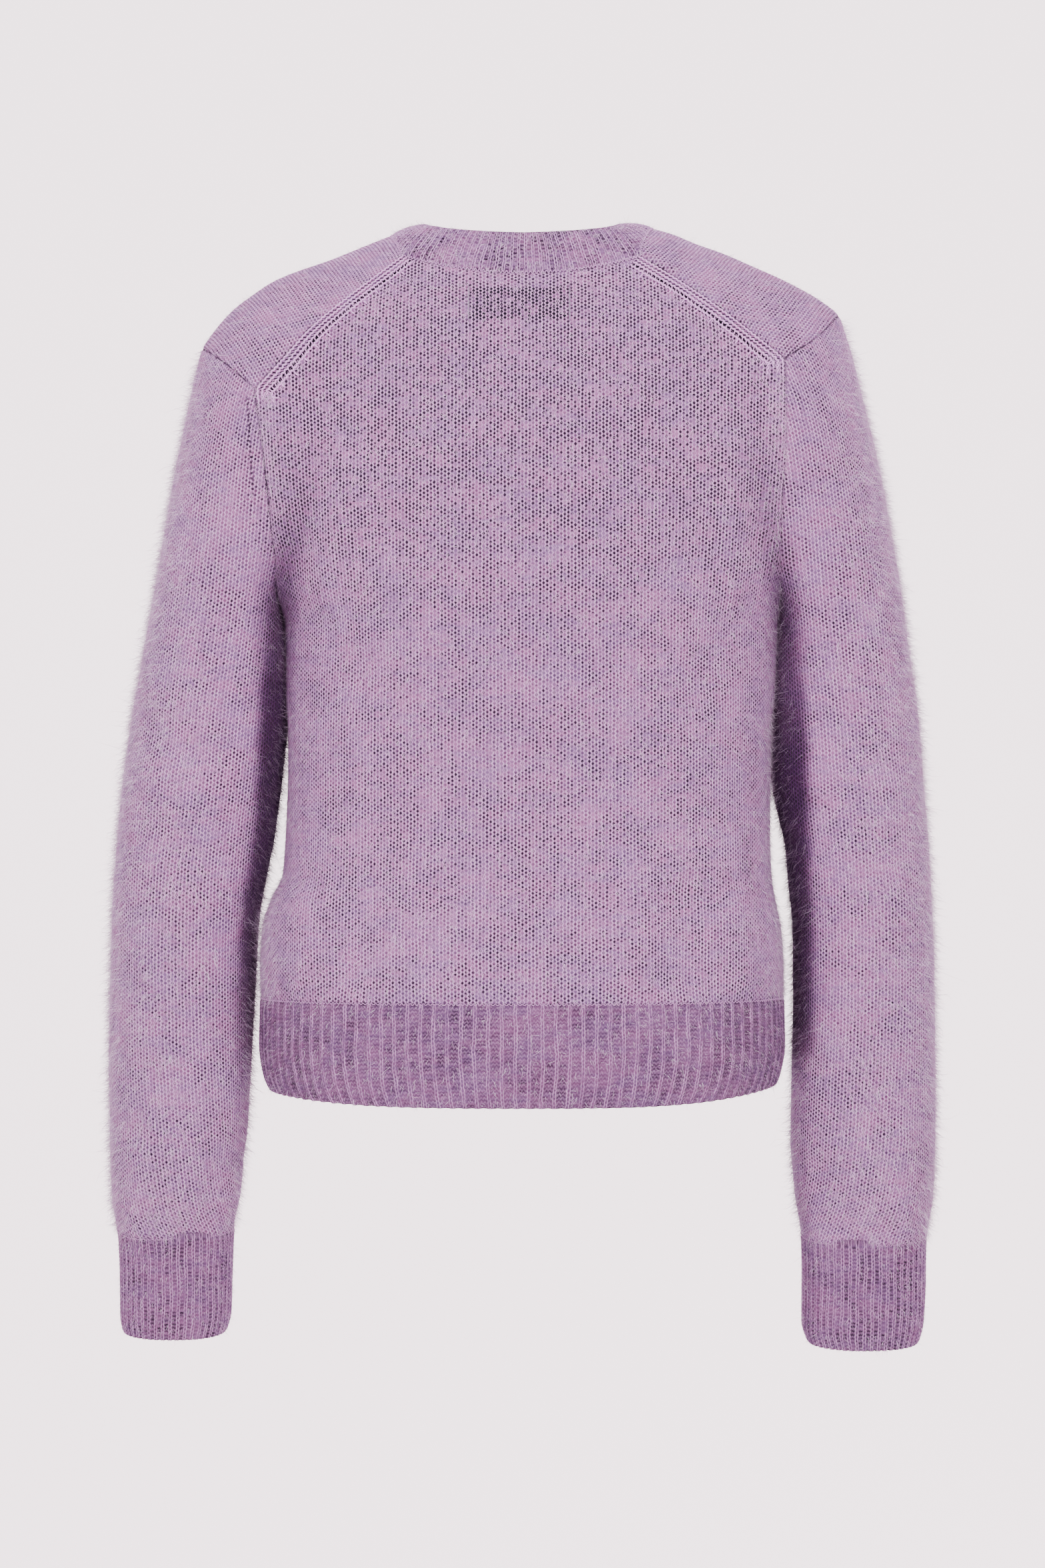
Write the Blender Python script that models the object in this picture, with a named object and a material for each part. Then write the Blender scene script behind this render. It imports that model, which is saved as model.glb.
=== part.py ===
"""Cropped cardigan, filled out as when worn, with its buttons fastened.

Metres, +Z up. The back faces +Y, the front -Y, and +X is the wearer's left. The origin lies
between the two high points of the neck opening. The tables below are in millimetres.

The body's panels are all patches of one form, torso(): a ring by height, closed over the
shoulders by a round ridge. Each sleeve leaves the armhole loop on that form and runs into
its own rings down to the cuff.
"""

import math

import bmesh
import bpy
import numpy as np
from mathutils import Matrix

MM = 0.001

# ---------------------------------------------------------------- named sizes, mm
KNIT = 2.0  # wall of the plain knit
RIB_WALL = 1.9  # wall of a rib between its ridges
SEAM = 0.21  # each piece stops this short of its seam line
ARMHOLE_SEAM = 0.32  # the same for the sleeves, whose seam turns more
ROUND = 70.0  # height over which the shoulder rounds off below its ridge
SQUARE = 2.4  # exponent of the body's rings: 2 is an ellipse
HEM_SEAM, HEM_END = -462.0, -522.5
HEM_RISE = {1: 5.0, -1: 8.5}  # how much higher the hem's end lies at the left and the right side
CUFFS = {1: (-604.0, -637.0, -667.5), -1: (-608.0, -642.5, -674.0)}  # seam, middle and end, by side
SLEEVE_RING = -252.0  # where the sleeve has become a plain tube
BAND_LEFT, BAND_RIGHT = 14.8, -8.4  # where the left and the right front stop at the bands
UNDERARM = 0.55  # how far the sleeve's underside turns out from the body at its seam
CAP_SPREAD = 0.2  # how far the sleeve cap keeps the shoulder's slope past its seam
SLEEVE_SQUARE = 2.3  # exponent of the sleeve's rings
SLEEVE_COLUMNS = 32

# ---------------------------------------------------------------- body, a row per height
# z, half width on the wearer's left and right, depth behind and before the side seams
BODY = ("z", "left", "right", "back", "front"), [
    (30.0, 226.0, 230.0, 56.0, 52.0),
    (-30.0, 226.0, 230.0, 65.0, 62.0),
    (-63.0, 225.0, 229.0, 77.0, 77.0),
    (-97.0, 221.0, 226.0, 87.0, 93.0),
    (-130.0, 206.0, 212.0, 94.0, 108.0),
    (-160.0, 188.0, 195.0, 98.0, 118.0),
    (-185.0, 170.0, 179.0, 100.0, 123.0),
    (-205.0, 157.0, 165.0, 100.5, 124.0),
    (-218.0, 149.5, 157.0, 100.5, 124.0),
    (-241.0, 141.0, 151.5, 99.5, 122.0),
    (-290.0, 140.0, 149.5, 96.5, 114.0),
    (-350.0, 141.0, 148.0, 95.5, 106.0),
    (-388.0, 143.2, 149.0, 99.0, 107.0),
    (-404.0, 150.8, 151.2, 103.0, 110.0),
    (-422.0, 156.0, 154.5, 108.0, 114.0),
    (-445.0, 157.0, 156.0, 112.0, 117.5),
    (-462.0, 156.5, 156.0, 113.5, 118.0),
    (-490.0, 157.0, 156.5, 114.0, 117.0),
    (-508.0, 154.5, 153.5, 112.0, 115.0),
    (-523.0, 147.5, 146.0, 108.5, 111.5),
]

# x, z of the shoulder ridge on each side
RIDGE_LEFT = ("x", "z"), [
    (0.0, 8.0), (57.0, 2.0), (82.0, -7.5), (112.5, -20.0), (148.5, -33.0),
    (162.0, -41.5), (173.0, -50.0), (188.5, -68.5), (200.0, -88.0), (226.0, -130.0),
]  # fmt: skip
RIDGE_RIGHT = ("x", "z"), [
    (0.0, 8.0), (62.0, 2.0), (89.0, -5.0), (103.0, -11.0), (120.0, -17.0),
    (136.0, -23.5), (159.0, -33.0), (177.0, -43.0), (193.0, -57.0), (205.0, -78.0), (230.0, -125.0),
]  # fmt: skip

# ---------------------------------------------------------------- seams on the body
# The armhole, by turn from its top (0) through the back (+) and the front (-) to the underarm
ARMHOLE = ("turn", "x_left", "z_left", "x_right", "z_right"), [
    (-180.0, 149.0, -216.5, 156.0, -219.0),
    (-157.5, 147.5, -207.0, 152.5, -209.0),
    (-135.0, 147.0, -190.0, 151.0, -189.0),
    (-112.5, 148.0, -168.0, 151.5, -164.0),
    (-90.0, 151.0, -146.0, 153.5, -139.0),
    (-67.5, 157.0, -122.0, 158.0, -112.0),
    (-45.0, 166.5, -101.0, 165.0, -88.0),
    (-22.5, 180.0, -86.0, 178.0, -70.0),
    (0.0, 192.0, -74.0, 190.0, -54.0),
]
ARMHOLE_BACK = ("turn", "x_left", "z_left", "x_right", "z_right"), [
    (0.0, 192.0, -74.0, 190.0, -54.0),
    (22.5, 176.0, -86.0, 173.5, -71.0),
    (45.0, 157.4, -102.2, 154.4, -84.0),
]
ARMHOLE_DOWN = ("turn", "x_left", "z_left", "x_right", "z_right"), [
    (45.0, 157.4, -102.2, 154.4, -84.0),
    (67.5, 154.8, -123.4, 155.2, -110.0),
    (90.0, 152.4, -142.5, 154.8, -135.0),
    (112.5, 150.0, -162.0, 153.6, -160.0),
    (135.0, 147.6, -184.0, 151.8, -184.0),
    (157.5, 145.5, -205.0, 151.5, -206.0),
    (180.0, 149.0, -216.5, 156.0, -219.0),
]
TURN_STEP = 11.25

# Shoulder seam on the back, from the neck out to the armhole corner
SHOULDER_LEFT = ("x", "z"), [(71.3, -21.5), (106.2, -49.7), (126.7, -68.0), (139.6, -83.0), (157.4, -102.2)]
SHOULDER_RIGHT = ("x", "z"), [(69.9, -22.3), (92.0, -37.0), (116.3, -54.3), (132.2, -66.5), (154.4, -84.0)]
NECK_CORNER = {1: 71.3, -1: 69.9}  # x of the neck seam on the left and the right shoulder seam
NECK_BACK_DIP = -33.4  # neck seam at the centre back
NECK_POINTS = 11  # of the neck seam on each front
NECK_BULGE = 1.5  # how far the neck rib bows out between its seam and its edge

# Neck seam from the shoulder seam forward to the centre front, by share of the way: x, and
# degrees over the ridge, plus behind it and minus before it
NECK_SIDE = ("share", "x", "over"), [
    (0.0, 71.3, 43.5), (0.4, 78.5, 0.0), (0.6, 74.5, -44.0),
    (0.75, 62.0, -76.0), (0.9, 38.0, -103.0), (1.0, 14.8, -117.5),
]  # fmt: skip
# Top edge of the neck rib, by the same shares, with -1 at the centre back
NECK_TOP = ("share", "x", "y", "z"), [
    (-1.0, 0.0, 53.0, -9.0), (-0.6, 21.0, 51.0, -8.0), (-0.2, 45.0, 41.0, -5.0),
    (0.0, 54.0, 31.0, -2.5), (0.4, 59.0, 0.0, 0.2), (0.6, 56.0, -30.0, -13.0),
    (0.75, 46.0, -52.0, -33.0), (0.9, 29.0, -69.0, -57.0), (1.0, 14.8, -77.0, -70.0),
]  # fmt: skip

# ---------------------------------------------------------------- sleeves, a row per height
# z at the axis, inner and outer edge, y of the axis, half depth, and how much lower the
# back of the ring hangs than its axis, per mm of depth
SLEEVE_LEFT = ("z", "inner", "outer", "y", "half", "lean"), [
    (-252.0, 142.0, 226.5, -3.0, 55.0, 0.00),
    (-290.0, 140.8, 233.5, -4.0, 54.0, 0.01),
    (-325.0, 143.8, 238.0, -5.0, 53.0, 0.02),
    (-364.0, 149.0, 243.0, -7.0, 52.0, 0.03),
    (-392.0, 154.5, 245.5, -9.0, 51.5, 0.04),
    (-420.0, 159.0, 247.0, -12.0, 50.5, 0.06),
    (-460.0, 161.5, 248.5, -17.0, 49.0, 0.08),
    (-508.0, 164.5, 249.5, -24.0, 46.5, 0.10),
    (-550.0, 167.5, 249.5, -31.0, 43.5, 0.12),
    (-583.0, 171.5, 249.0, -37.0, 39.0, 0.13),
    (-601.0, 175.5, 246.5, -40.0, 34.0, 0.13),
    (-611.0, 176.5, 245.0, -42.0, 31.0, 0.13),
    (-633.0, 177.5, 244.5, -45.0, 30.5, 0.13),
    (-657.0, 178.5, 244.5, -49.0, 30.0, 0.13),
    (-668.0, 181.5, 243.0, -51.0, 29.0, 0.12),
]
SLEEVE_RIGHT = ("z", "inner", "outer", "y", "half", "lean"), [
    (-252.0, 151.9, 231.5, -3.0, 55.0, 0.00),
    (-290.0, 150.2, 236.5, -4.0, 54.0, 0.01),
    (-325.0, 149.4, 240.0, -5.0, 53.0, 0.02),
    (-352.0, 153.5, 242.0, -6.5, 52.5, 0.03),
    (-372.0, 158.0, 243.5, -7.5, 52.0, 0.035),
    (-392.0, 160.0, 244.8, -9.0, 51.5, 0.04),
    (-420.0, 162.8, 246.5, -12.0, 50.5, 0.06),
    (-460.0, 163.6, 248.0, -17.0, 49.0, 0.08),
    (-508.0, 163.0, 249.3, -24.0, 46.5, 0.10),
    (-550.0, 162.6, 249.8, -31.0, 43.5, 0.12),
    (-583.0, 165.6, 249.0, -37.0, 39.0, 0.13),
    (-601.0, 168.8, 246.5, -40.0, 34.5, 0.13),
    (-615.0, 170.5, 244.8, -42.0, 32.0, 0.13),
    (-637.0, 171.0, 244.8, -45.0, 31.0, 0.13),
    (-662.0, 171.0, 243.8, -49.0, 30.5, 0.13),
    (-674.0, 174.5, 241.0, -51.0, 29.5, 0.12),
]

# ---------------------------------------------------------------- ribs
# pitch, and across one rib the places of its points from its middle with their heights
RIBS = {
    "hem": (7.9, [(-1.7, 0.0), (0.0, 1.0), (1.7, 0.0)]),
    "cuff": (4.7, [(-1.3, 0.8), (1.3, 0.8), (2.35, 0.0)]),
    "neck": (4.6, [(-1.2, 0.8), (1.2, 0.8), (2.3, 0.0)]),
}

# ---------------------------------------------------------------- bands and buttons
BAND_LIFT = 0.4
OVER_BAND = [14.0, BAND_RIGHT, -16.0]  # x of the over band's edges and of its line of buttons
BAND_PLAY = 0.4  # how far the under band stops short of the fronts
NO_RIBS = 18.0  # half width of the plain stretch at the centre front, where the bands lie
BUTTONS = 6
BUTTON_SIDES = 16
# from the middle of a button's underside out round its rim to the middle of its face: radius, height
BUTTON_PROFILE = [(0.0, 0.0), (6.6, 0.0), (8.0, 1.2), (8.0, 2.2), (6.8, 3.2), (5.4, 2.4), (0.0, 2.2)]
BUTTON_HOLES, HOLE_RADIUS = 2.1, 1.0  # the holes' distance from the middle, and their radius
BUTTON_GAP = 0.6
# blank tape inside the back neck
LABEL_X, LABEL_Z = (31.0, -27.0), (-62.0, -43.0)
LABEL_THICK, LABEL_GAP = 0.6, 0.45
FIRST_BUTTON, LAST_BUTTON = -90.0, -500.0


# ================================================================ working out
def column(table, name):
    names, rows = table
    return np.array([row[names.index(name)] for row in rows], float)


def smooth(table, name, at):
    """A column of a table at other values of its first column, on a curve that never overshoots its rows."""
    x, y = column(table, table[0][0]), column(table, name)
    if x[0] > x[-1]:
        x, y = x[::-1], y[::-1]
    step, rise = np.diff(x), np.diff(y)
    slope = rise / step
    bend = np.zeros(len(x))
    same = slope[:-1] * slope[1:] > 0
    a, b = 2 * step[1:] + step[:-1], step[1:] + 2 * step[:-1]
    with np.errstate(divide="ignore", invalid="ignore"):
        bend[1:-1] = np.where(same, (a + b) / (a / slope[:-1] + b / slope[1:]), 0)
    bend[0], bend[-1] = slope[0], slope[-1]
    at = np.clip(np.asarray(at, float), x[0], x[-1])
    k = np.clip(np.searchsorted(x, at) - 1, 0, len(step) - 1)
    t = (at - x[k]) / step[k]
    return (
        y[k] * (1 + 2 * t) * (1 - t) ** 2 + y[k + 1] * t * t * (3 - 2 * t)
        + step[k] * (bend[k] * t * (1 - t) ** 2 - bend[k + 1] * t * t * (1 - t))
    )  # fmt: skip


def ridge(x):
    return np.where(x >= 0, smooth(RIDGE_LEFT, "z", np.abs(x)), smooth(RIDGE_RIGHT, "z", np.abs(x)))


def half_width(x, z):
    return np.where(x >= 0, smooth(BODY, "left", z), smooth(BODY, "right", z))


def drop_of(over):
    """Drop below the ridge, in units of ROUND, of a point so many radians over it."""
    over = np.abs(over)
    return np.where(over < math.pi / 2, 1 - np.cos(np.minimum(over, 1.6)), 1 + over - math.pi / 2)


def over_of(x, z, side):
    """The way back: side is 1 behind the ridge and -1 before it."""
    drop = np.maximum((ridge(x) - z) / ROUND, 0)
    return side * np.where(drop < 1, np.arccos(1 - np.minimum(drop, 1)), drop + math.pi / 2 - 1)


def torso(x, over):
    """Points of the body's outer surface."""
    x, over = np.broadcast_arrays(np.asarray(x, float), np.asarray(over, float))
    z = ridge(x) - ROUND * drop_of(over)
    share = np.clip(np.abs(x) / half_width(x, z), 0, 1)
    depth = np.where(over >= 0, smooth(BODY, "back", z), smooth(BODY, "front", z))
    round_off = np.sin(np.minimum(np.abs(over), math.pi / 2))
    y = np.sign(over) * depth * (1 - share**SQUARE) ** (1 / SQUARE) * round_off
    return np.stack([x, y, z], -1)


def torso_normal(points):
    """Outward directions at points of the body's outer surface, from how its equation changes."""

    def level(p, rounded):
        x, y, z = p[..., 0], p[..., 1], p[..., 2]
        share = np.clip(np.abs(x) / half_width(x, z), 0, 1)
        depth = np.where(y >= 0, smooth(BODY, "back", z), smooth(BODY, "front", z))
        drop = np.minimum((ridge(x) - z) / ROUND, 1)
        inside = np.maximum(1 - share**SQUARE, 1e-3) ** (2 / SQUARE)
        on_shoulder = (y / depth) ** 2 / inside + (1 - drop) ** 2
        return np.where(rounded, on_shoulder, share**SQUARE + np.abs(y / depth) ** SQUARE)

    points = np.asarray(points, float)
    rounded = (ridge(points[..., 0]) - points[..., 2]) < ROUND
    out = np.zeros_like(points)
    for axis in range(3):
        step = np.zeros(3)
        step[axis] = 0.4
        out[..., axis] = level(points + step, rounded) - level(points - step, rounded)
    return unit(out)


def unit(v):
    return v / np.maximum(np.linalg.norm(v, axis=-1, keepdims=True), 1e-12)


def grid_normals(grid, closed):
    """Outward directions of rings that run down a tube, and round it from its outer side over the back."""
    if closed:
        across = np.roll(grid, -1, 1) - np.roll(grid, 1, 1)
    else:
        across = np.gradient(grid, axis=1)
    return unit(np.cross(across, np.gradient(grid, axis=0)))


def facing(normals, at, way):
    """Directions, turned over as a whole if the one at this place doesn't point along way * Y."""
    return normals if normals[at][1] * way > 0 else -normals


def mix(a, b, share):
    return a + (b - a) * share


def armhole(side, turns):
    """Points of the armhole loop at these turns; side is 1 on the wearer's left."""
    name = "left" if side > 0 else "right"
    points = []
    for turn in turns:
        table = ARMHOLE if turn < 0 else ARMHOLE_BACK if turn <= 45 else ARMHOLE_DOWN
        x, z = smooth(table, "x_" + name, turn), smooth(table, "z_" + name, turn)
        if turn == 0:
            over = 0.0
        elif abs(turn) == 180:
            over = over_of(side * x, z, 1)
            x = smooth(BODY, name, z)
        else:
            over = over_of(side * x, z, 1 if turn > 0 else -1)
        points.append(torso(side * x, over))
    return np.array(points)


def sleeve(side, rows_cap, heights, columns):
    """Rings of the sleeve from the armhole to the cuff's end, round from the outer side over the back."""
    table = SLEEVE_LEFT if side > 0 else SLEEVE_RIGHT
    turns = np.arange(columns) * 360 / columns
    angle = np.radians(turns)
    loop = armhole(side, [t if t <= 180 else t - 360 for t in turns])

    def ring(z):
        inner, outer, y, half, lean = (smooth(table, n, z) for n in ("inner", "outer", "y", "half", "lean"))
        middle, wide = (inner + outer) / 2, (outer - inner) / 2
        c, s = np.cos(angle), np.sin(angle)
        fat = (np.abs(c) ** SLEEVE_SQUARE + np.abs(s) ** SLEEVE_SQUARE) ** (-1 / SLEEVE_SQUARE)
        dy = half * s * fat
        return np.stack([side * (middle + wide * c * fat), y + dy, z - lean * dy], -1)

    end = ring(SLEEVE_RING)
    ahead = unit(ring(SLEEVE_RING - 6) - end)
    chord = end - loop
    length = np.linalg.norm(chord, axis=1, keepdims=True)
    out = torso_normal(loop)
    flat = unit(chord - out * (chord * out).sum(1, keepdims=True))
    # The sides of the cap run smoothly on from the body, its top starts steeper.
    keep = (CAP_SPREAD + (0.95 - CAP_SPREAD) * np.abs(np.sin(angle)) ** 0.8)[:, None]
    start = unit(mix(unit(chord), flat, keep))
    # under the arm the cloth leaves the body at an angle
    start[:, 0] += side * UNDERARM * np.maximum(-np.cos(angle), 0) ** 1.5
    start = unit(start) * length * 0.9
    rows = []
    for k in range(rows_cap):
        t = (k / rows_cap) ** 1.15
        rows.append(
            (2 * t**3 - 3 * t * t + 1) * loop + (t**3 - 2 * t * t + t) * start
            + (3 * t * t - 2 * t**3) * end + (t**3 - t * t) * ahead * length
        )  # fmt: skip
    return np.array(rows + [ring(z) for z in heights])


def coons(bottom, top, left, right, across):
    """A grid between four edges, with rows from left to right; across is each column's share of the way."""
    v = np.linspace(0, 1, len(left))[:, None, None]
    u = across[None, :, None]
    corners = (1 - v) * ((1 - u) * bottom[0] + u * bottom[-1]) + v * ((1 - u) * top[0] + u * top[-1])
    return (1 - v) * bottom[None] + v * top[None] + (1 - u) * left[:, None] + u * right[:, None] - corners


SPREAD = np.radians([0, 9, 18, 27, 34, 41, 48, 55, 62, 69, 76, 83, 90])  # columns of half the back
NECK_COLUMNS = 3  # of them lie under the neck rib
CAP_ROWS = 6
SLEEVE_LEVELS = [-252.0, -290, -330, -375, -422, -475, -525, -572, -597]
SIDE_LEVELS = np.array([-462.0, -442, -422, -404, -388, -362, -330, -290, -252])
TURNS_BACK = np.arange(180.0, 44.0, -TURN_STEP)
TURNS_FRONT = np.arange(-180.0, 45.1, TURN_STEP)


def shoulder_seam(side):
    table = SHOULDER_LEFT if side > 0 else SHOULDER_RIGHT
    x = column(table, "x")[-1] * np.sin(SPREAD[NECK_COLUMNS:])
    x[0] = column(table, "x")[0]
    return x, smooth(table, "z", x)


def edge_down(side, turns):
    """x and z of a panel's outer edge, from the hem seam up the side seam and the armhole."""
    loop = armhole(side, turns)
    name = "left" if side > 0 else "right"
    x = np.concatenate([smooth(BODY, name, SIDE_LEVELS), np.abs(loop[:, 0])])
    return x, np.concatenate([SIDE_LEVELS, loop[:, 2]])


def back_panel():
    """Rows from the hem seam up, columns from the wearer's left to the right."""
    (xl, zl), (xr, zr) = edge_down(1, TURNS_BACK), edge_down(-1, TURNS_BACK)
    share = np.concatenate([np.sin(SPREAD[::-1]), -np.sin(SPREAD[1:])])
    (sl, tl), (sr, tr) = shoulder_seam(1), shoulder_seam(-1)
    share[len(SPREAD) - 1 - NECK_COLUMNS] = sl[0] / sl[-1]
    share[len(SPREAD) - 1 + NECK_COLUMNS] = -sr[0] / sr[-1]
    x = np.where(share >= 0, share * xl[:, None], share * xr[:, None])
    inner = np.sin(SPREAD[:NECK_COLUMNS]) / math.sin(SPREAD[NECK_COLUMNS])
    neck_l = mix(NECK_BACK_DIP, tl[0], inner[::-1] ** 2)
    neck_r = mix(NECK_BACK_DIP, tr[0], inner[1:] ** 2)
    top = np.concatenate([tl[::-1], neck_l, neck_r, tr])
    level = mix(zr[:, None], zl[:, None], (1 + share) / 2)
    height = (level - level[0]) / (level[-1] - level[0])
    z = level + height**3 * (top - level[-1])
    points = torso(x, over_of(x, z, 1))
    # the side seams lie exactly at the side
    sides = len(SIDE_LEVELS) + 1
    points[:sides, [0, -1], 1] = 0
    return points


def neck_side(side):
    """(x, over) along the neck seam from the shoulder seam to the centre front."""
    share = np.linspace(0, 1, NECK_POINTS)
    x, over = smooth(NECK_SIDE, "x", share), np.radians(smooth(NECK_SIDE, "over", share))
    if side < 0:
        narrower = (NECK_CORNER[-1] + BAND_RIGHT) / (NECK_CORNER[1] - BAND_LEFT)
        x = NECK_CORNER[-1] - (NECK_CORNER[1] - x) * narrower
    x0, z0 = (v[0] for v in shoulder_seam(side))
    x[0], over[0] = x0, over_of(side * x0, z0, 1)
    return side * x, over


def front_panel(side):
    """Rows from the hem seam up and over the shoulder, columns from the button band outwards."""
    x_out, z_out = edge_down(side, TURNS_FRONT)
    neck_x, neck_over = neck_side(side)
    lower = len(x_out) - len(neck_x) + 1
    columns = len(SPREAD) - NECK_COLUMNS
    spread = np.sin(np.linspace(0, math.pi / 2, columns))
    neck_z = torso(neck_x[-1], neck_over[-1])[2]
    # up to the neck's corner the rows are nearly level
    z_in = z_out[:lower].copy()
    foot = SIDE_LEVELS[-1]
    rise = z_in > foot
    z_in[rise] = foot + (z_in[rise] - foot) * (neck_z - foot) / (z_out[lower - 1] - foot)
    band = BAND_LEFT if side > 0 else BAND_RIGHT
    x = band + (side * x_out[:lower, None] - band) * spread
    z = mix(z_in[:, None], z_out[:lower, None], spread)
    over = over_of(x, z, -1)
    first = np.stack([x, over], -1)
    first[-1, 0] = neck_x[-1], neck_over[-1]
    # above it they fan from the neck seam to the armhole
    seam_x, seam_z = shoulder_seam(side)
    top = np.stack([side * seam_x, over_of(side * seam_x, seam_z, 1)], -1)
    turns = TURNS_FRONT[-len(neck_x):]
    loop = armhole(side, turns)
    ways = np.where(turns == 0, 0, over_of(loop[:, 0], loop[:, 2], np.where(turns < 0, -1, 1)))
    right = np.stack([loop[:, 0], ways], -1)
    left = np.stack([neck_x[::-1], neck_over[::-1]], -1)
    upper = coons(first[-1], top, left, right, spread)
    both = np.concatenate([first[:-1], upper])
    points = torso(both[..., 0], both[..., 1])
    points[: len(SIDE_LEVELS) + 1, -1, 1] = 0
    return points


# ================================================================ making solids
def clear_scene():
    for obj in list(bpy.data.objects):
        bpy.data.objects.remove(obj, do_unlink=True)


def material(name, colour):
    mat = bpy.data.materials.new(name)
    mat.use_nodes = True
    mat.node_tree.nodes["Principled BSDF"].inputs["Base Color"].default_value = (*colour, 1)
    mat.node_tree.nodes["Principled BSDF"].inputs["Roughness"].default_value = 0.9
    return mat


def inset(grid, normals, edges, closed=False, gap=SEAM):
    """Moves the named open edges of a grid in by the seam gap, square to the seam."""
    grid = grid.copy()
    for edge in edges:
        flip = edge in ("start", "end")
        turned = grid.transpose(1, 0, 2) if flip else grid
        ways = normals.transpose(1, 0, 2) if flip else normals
        a, b = (0, 1) if edge in ("first", "start") else (-1, -2)
        line = turned[a]
        run = np.roll(line, -1, 0) - np.roll(line, 1, 0) if closed else np.gradient(line, axis=0)
        aside = unit(np.cross(run, ways[a]))
        if (aside * (turned[b] - turned[a])).sum() < 0:
            aside = -aside
        turned[a] += aside * gap
    return grid


def zip_rim(bm, outer, inner, place_outer, place_inner, flip):
    """Triangles between two rows of vertices, by their places along the edge."""
    i = j = 0
    while i < len(outer) - 1 or j < len(inner) - 1:
        step_outer = j == len(inner) - 1 or (
            i < len(outer) - 1 and place_outer[i + 1] + place_outer[i] <= place_inner[j + 1] + place_inner[j]
        )
        if step_outer:
            face = [outer[i], outer[i + 1], inner[j]]
            i += 1
        else:
            face = [outer[i], inner[j + 1], inner[j]]
            j += 1
        bm.faces.new(face[::-1] if flip else face)


def solid(name, outer, inner, places_outer, places_inner, closed, mat):
    """A closed wall between two grids with the same rows; the inner one may have fewer columns."""
    bm = bmesh.new()
    grids = [[[bm.verts.new(p * MM) for p in row] for row in grid] for grid in (outer, inner)]
    for grid, turned in zip(grids, (False, True)):
        wide = len(grid[0])
        for r in range(len(grid) - 1):
            for c in range(wide if closed else wide - 1):
                d = (c + 1) % wide
                face = [grid[r][c], grid[r + 1][c], grid[r + 1][d], grid[r][d]]
                bm.faces.new(face[::-1] if turned else face)
    for row, flip in ((0, False), (-1, True)):
        out, ins = list(grids[0][row]), list(grids[1][row])
        po, pi = list(places_outer), list(places_inner)
        if closed:
            out, ins, po, pi = out + out[:1], ins + ins[:1], po + [1.0], pi + [1.0]
        zip_rim(bm, out, ins, po, pi, flip)
    if not closed:
        for col, flip in ((0, True), (-1, False)):
            for r in range(len(outer) - 1):
                a, b = grids[0][r][col], grids[0][r + 1][col]
                c, d = grids[1][r + 1][col], grids[1][r][col]
                face = [a, b, c, d]
                bm.faces.new(face[::-1] if flip else face)
    bmesh.ops.triangulate(bm, faces=bm.faces[:], quad_method="SHORT_EDGE")
    if bm.calc_volume(signed=True) < 0:
        bmesh.ops.reverse_faces(bm, faces=bm.faces[:])
    mesh = bpy.data.meshes.new(name)
    bm.to_mesh(mesh)
    bm.free()
    mesh.materials.append(mat)
    obj = bpy.data.objects.new(name, mesh)
    bpy.context.scene.collection.objects.link(obj)
    return obj


def wall(name, grid, normals, thick, closed, mat, edges=(), lift=0.0, gap=SEAM):
    grid = inset(grid, normals, edges, closed, gap) + normals * lift
    places = np.linspace(0, 1, grid.shape[1] + closed)[: grid.shape[1]]
    return solid(name, grid, grid - normals * thick, places, places, closed, mat)


def along(row, closed):
    """Places of a row's points along it, from 0 to 1."""
    if closed:
        row = np.vstack([row, row[:1]])
    run = np.concatenate([[0], np.cumsum(np.linalg.norm(np.diff(row, axis=0), axis=1))])
    return run / run[-1], run[-1]


def ribbed(name, grid, normals, rib, closed, mat, edges=(), plain=None):
    """A wall whose outer points are raised into ribs; plain marks where along it they stay flat."""
    pitch, profile = RIBS[rib]
    grid = inset(grid, normals, edges, closed)
    places, length = along(grid[0], closed)
    count = round(length / pitch)
    step = 1 / count
    spots, raised = [], []
    for k in range(count):
        for part, up in profile:
            spots.append((k + 0.5) * step + part / pitch * step)
            raised.append(up)
    if not closed:
        keep = [k for k, spot in enumerate(spots) if 0.001 < spot < 0.999]
        spots, raised = [0.0, *(spots[k] for k in keep), 1.0], [0.0, *(raised[k] for k in keep), 0.0]
    spots, raised = np.array(spots), np.array(raised)
    wide = np.concatenate([grid, grid[:, :1]], 1) if closed else grid
    dirs = np.concatenate([normals, normals[:, :1]], 1) if closed else normals

    def between(rows):
        read = [[np.interp(spots, places, row[:, axis]) for axis in range(3)] for row in rows]
        return np.stack(read).transpose(0, 2, 1)

    outer, ways = between(wide), unit(between(dirs))
    if plain is not None:
        raised = np.where(plain(outer), 0, raised)
    else:
        raised = np.broadcast_to(raised, outer.shape[:2])
    outer = outer + ways * raised[..., None]
    inner = grid - normals * RIB_WALL
    return solid(name, outer, inner, spots, places[: grid.shape[1]], closed, mat)


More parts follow.
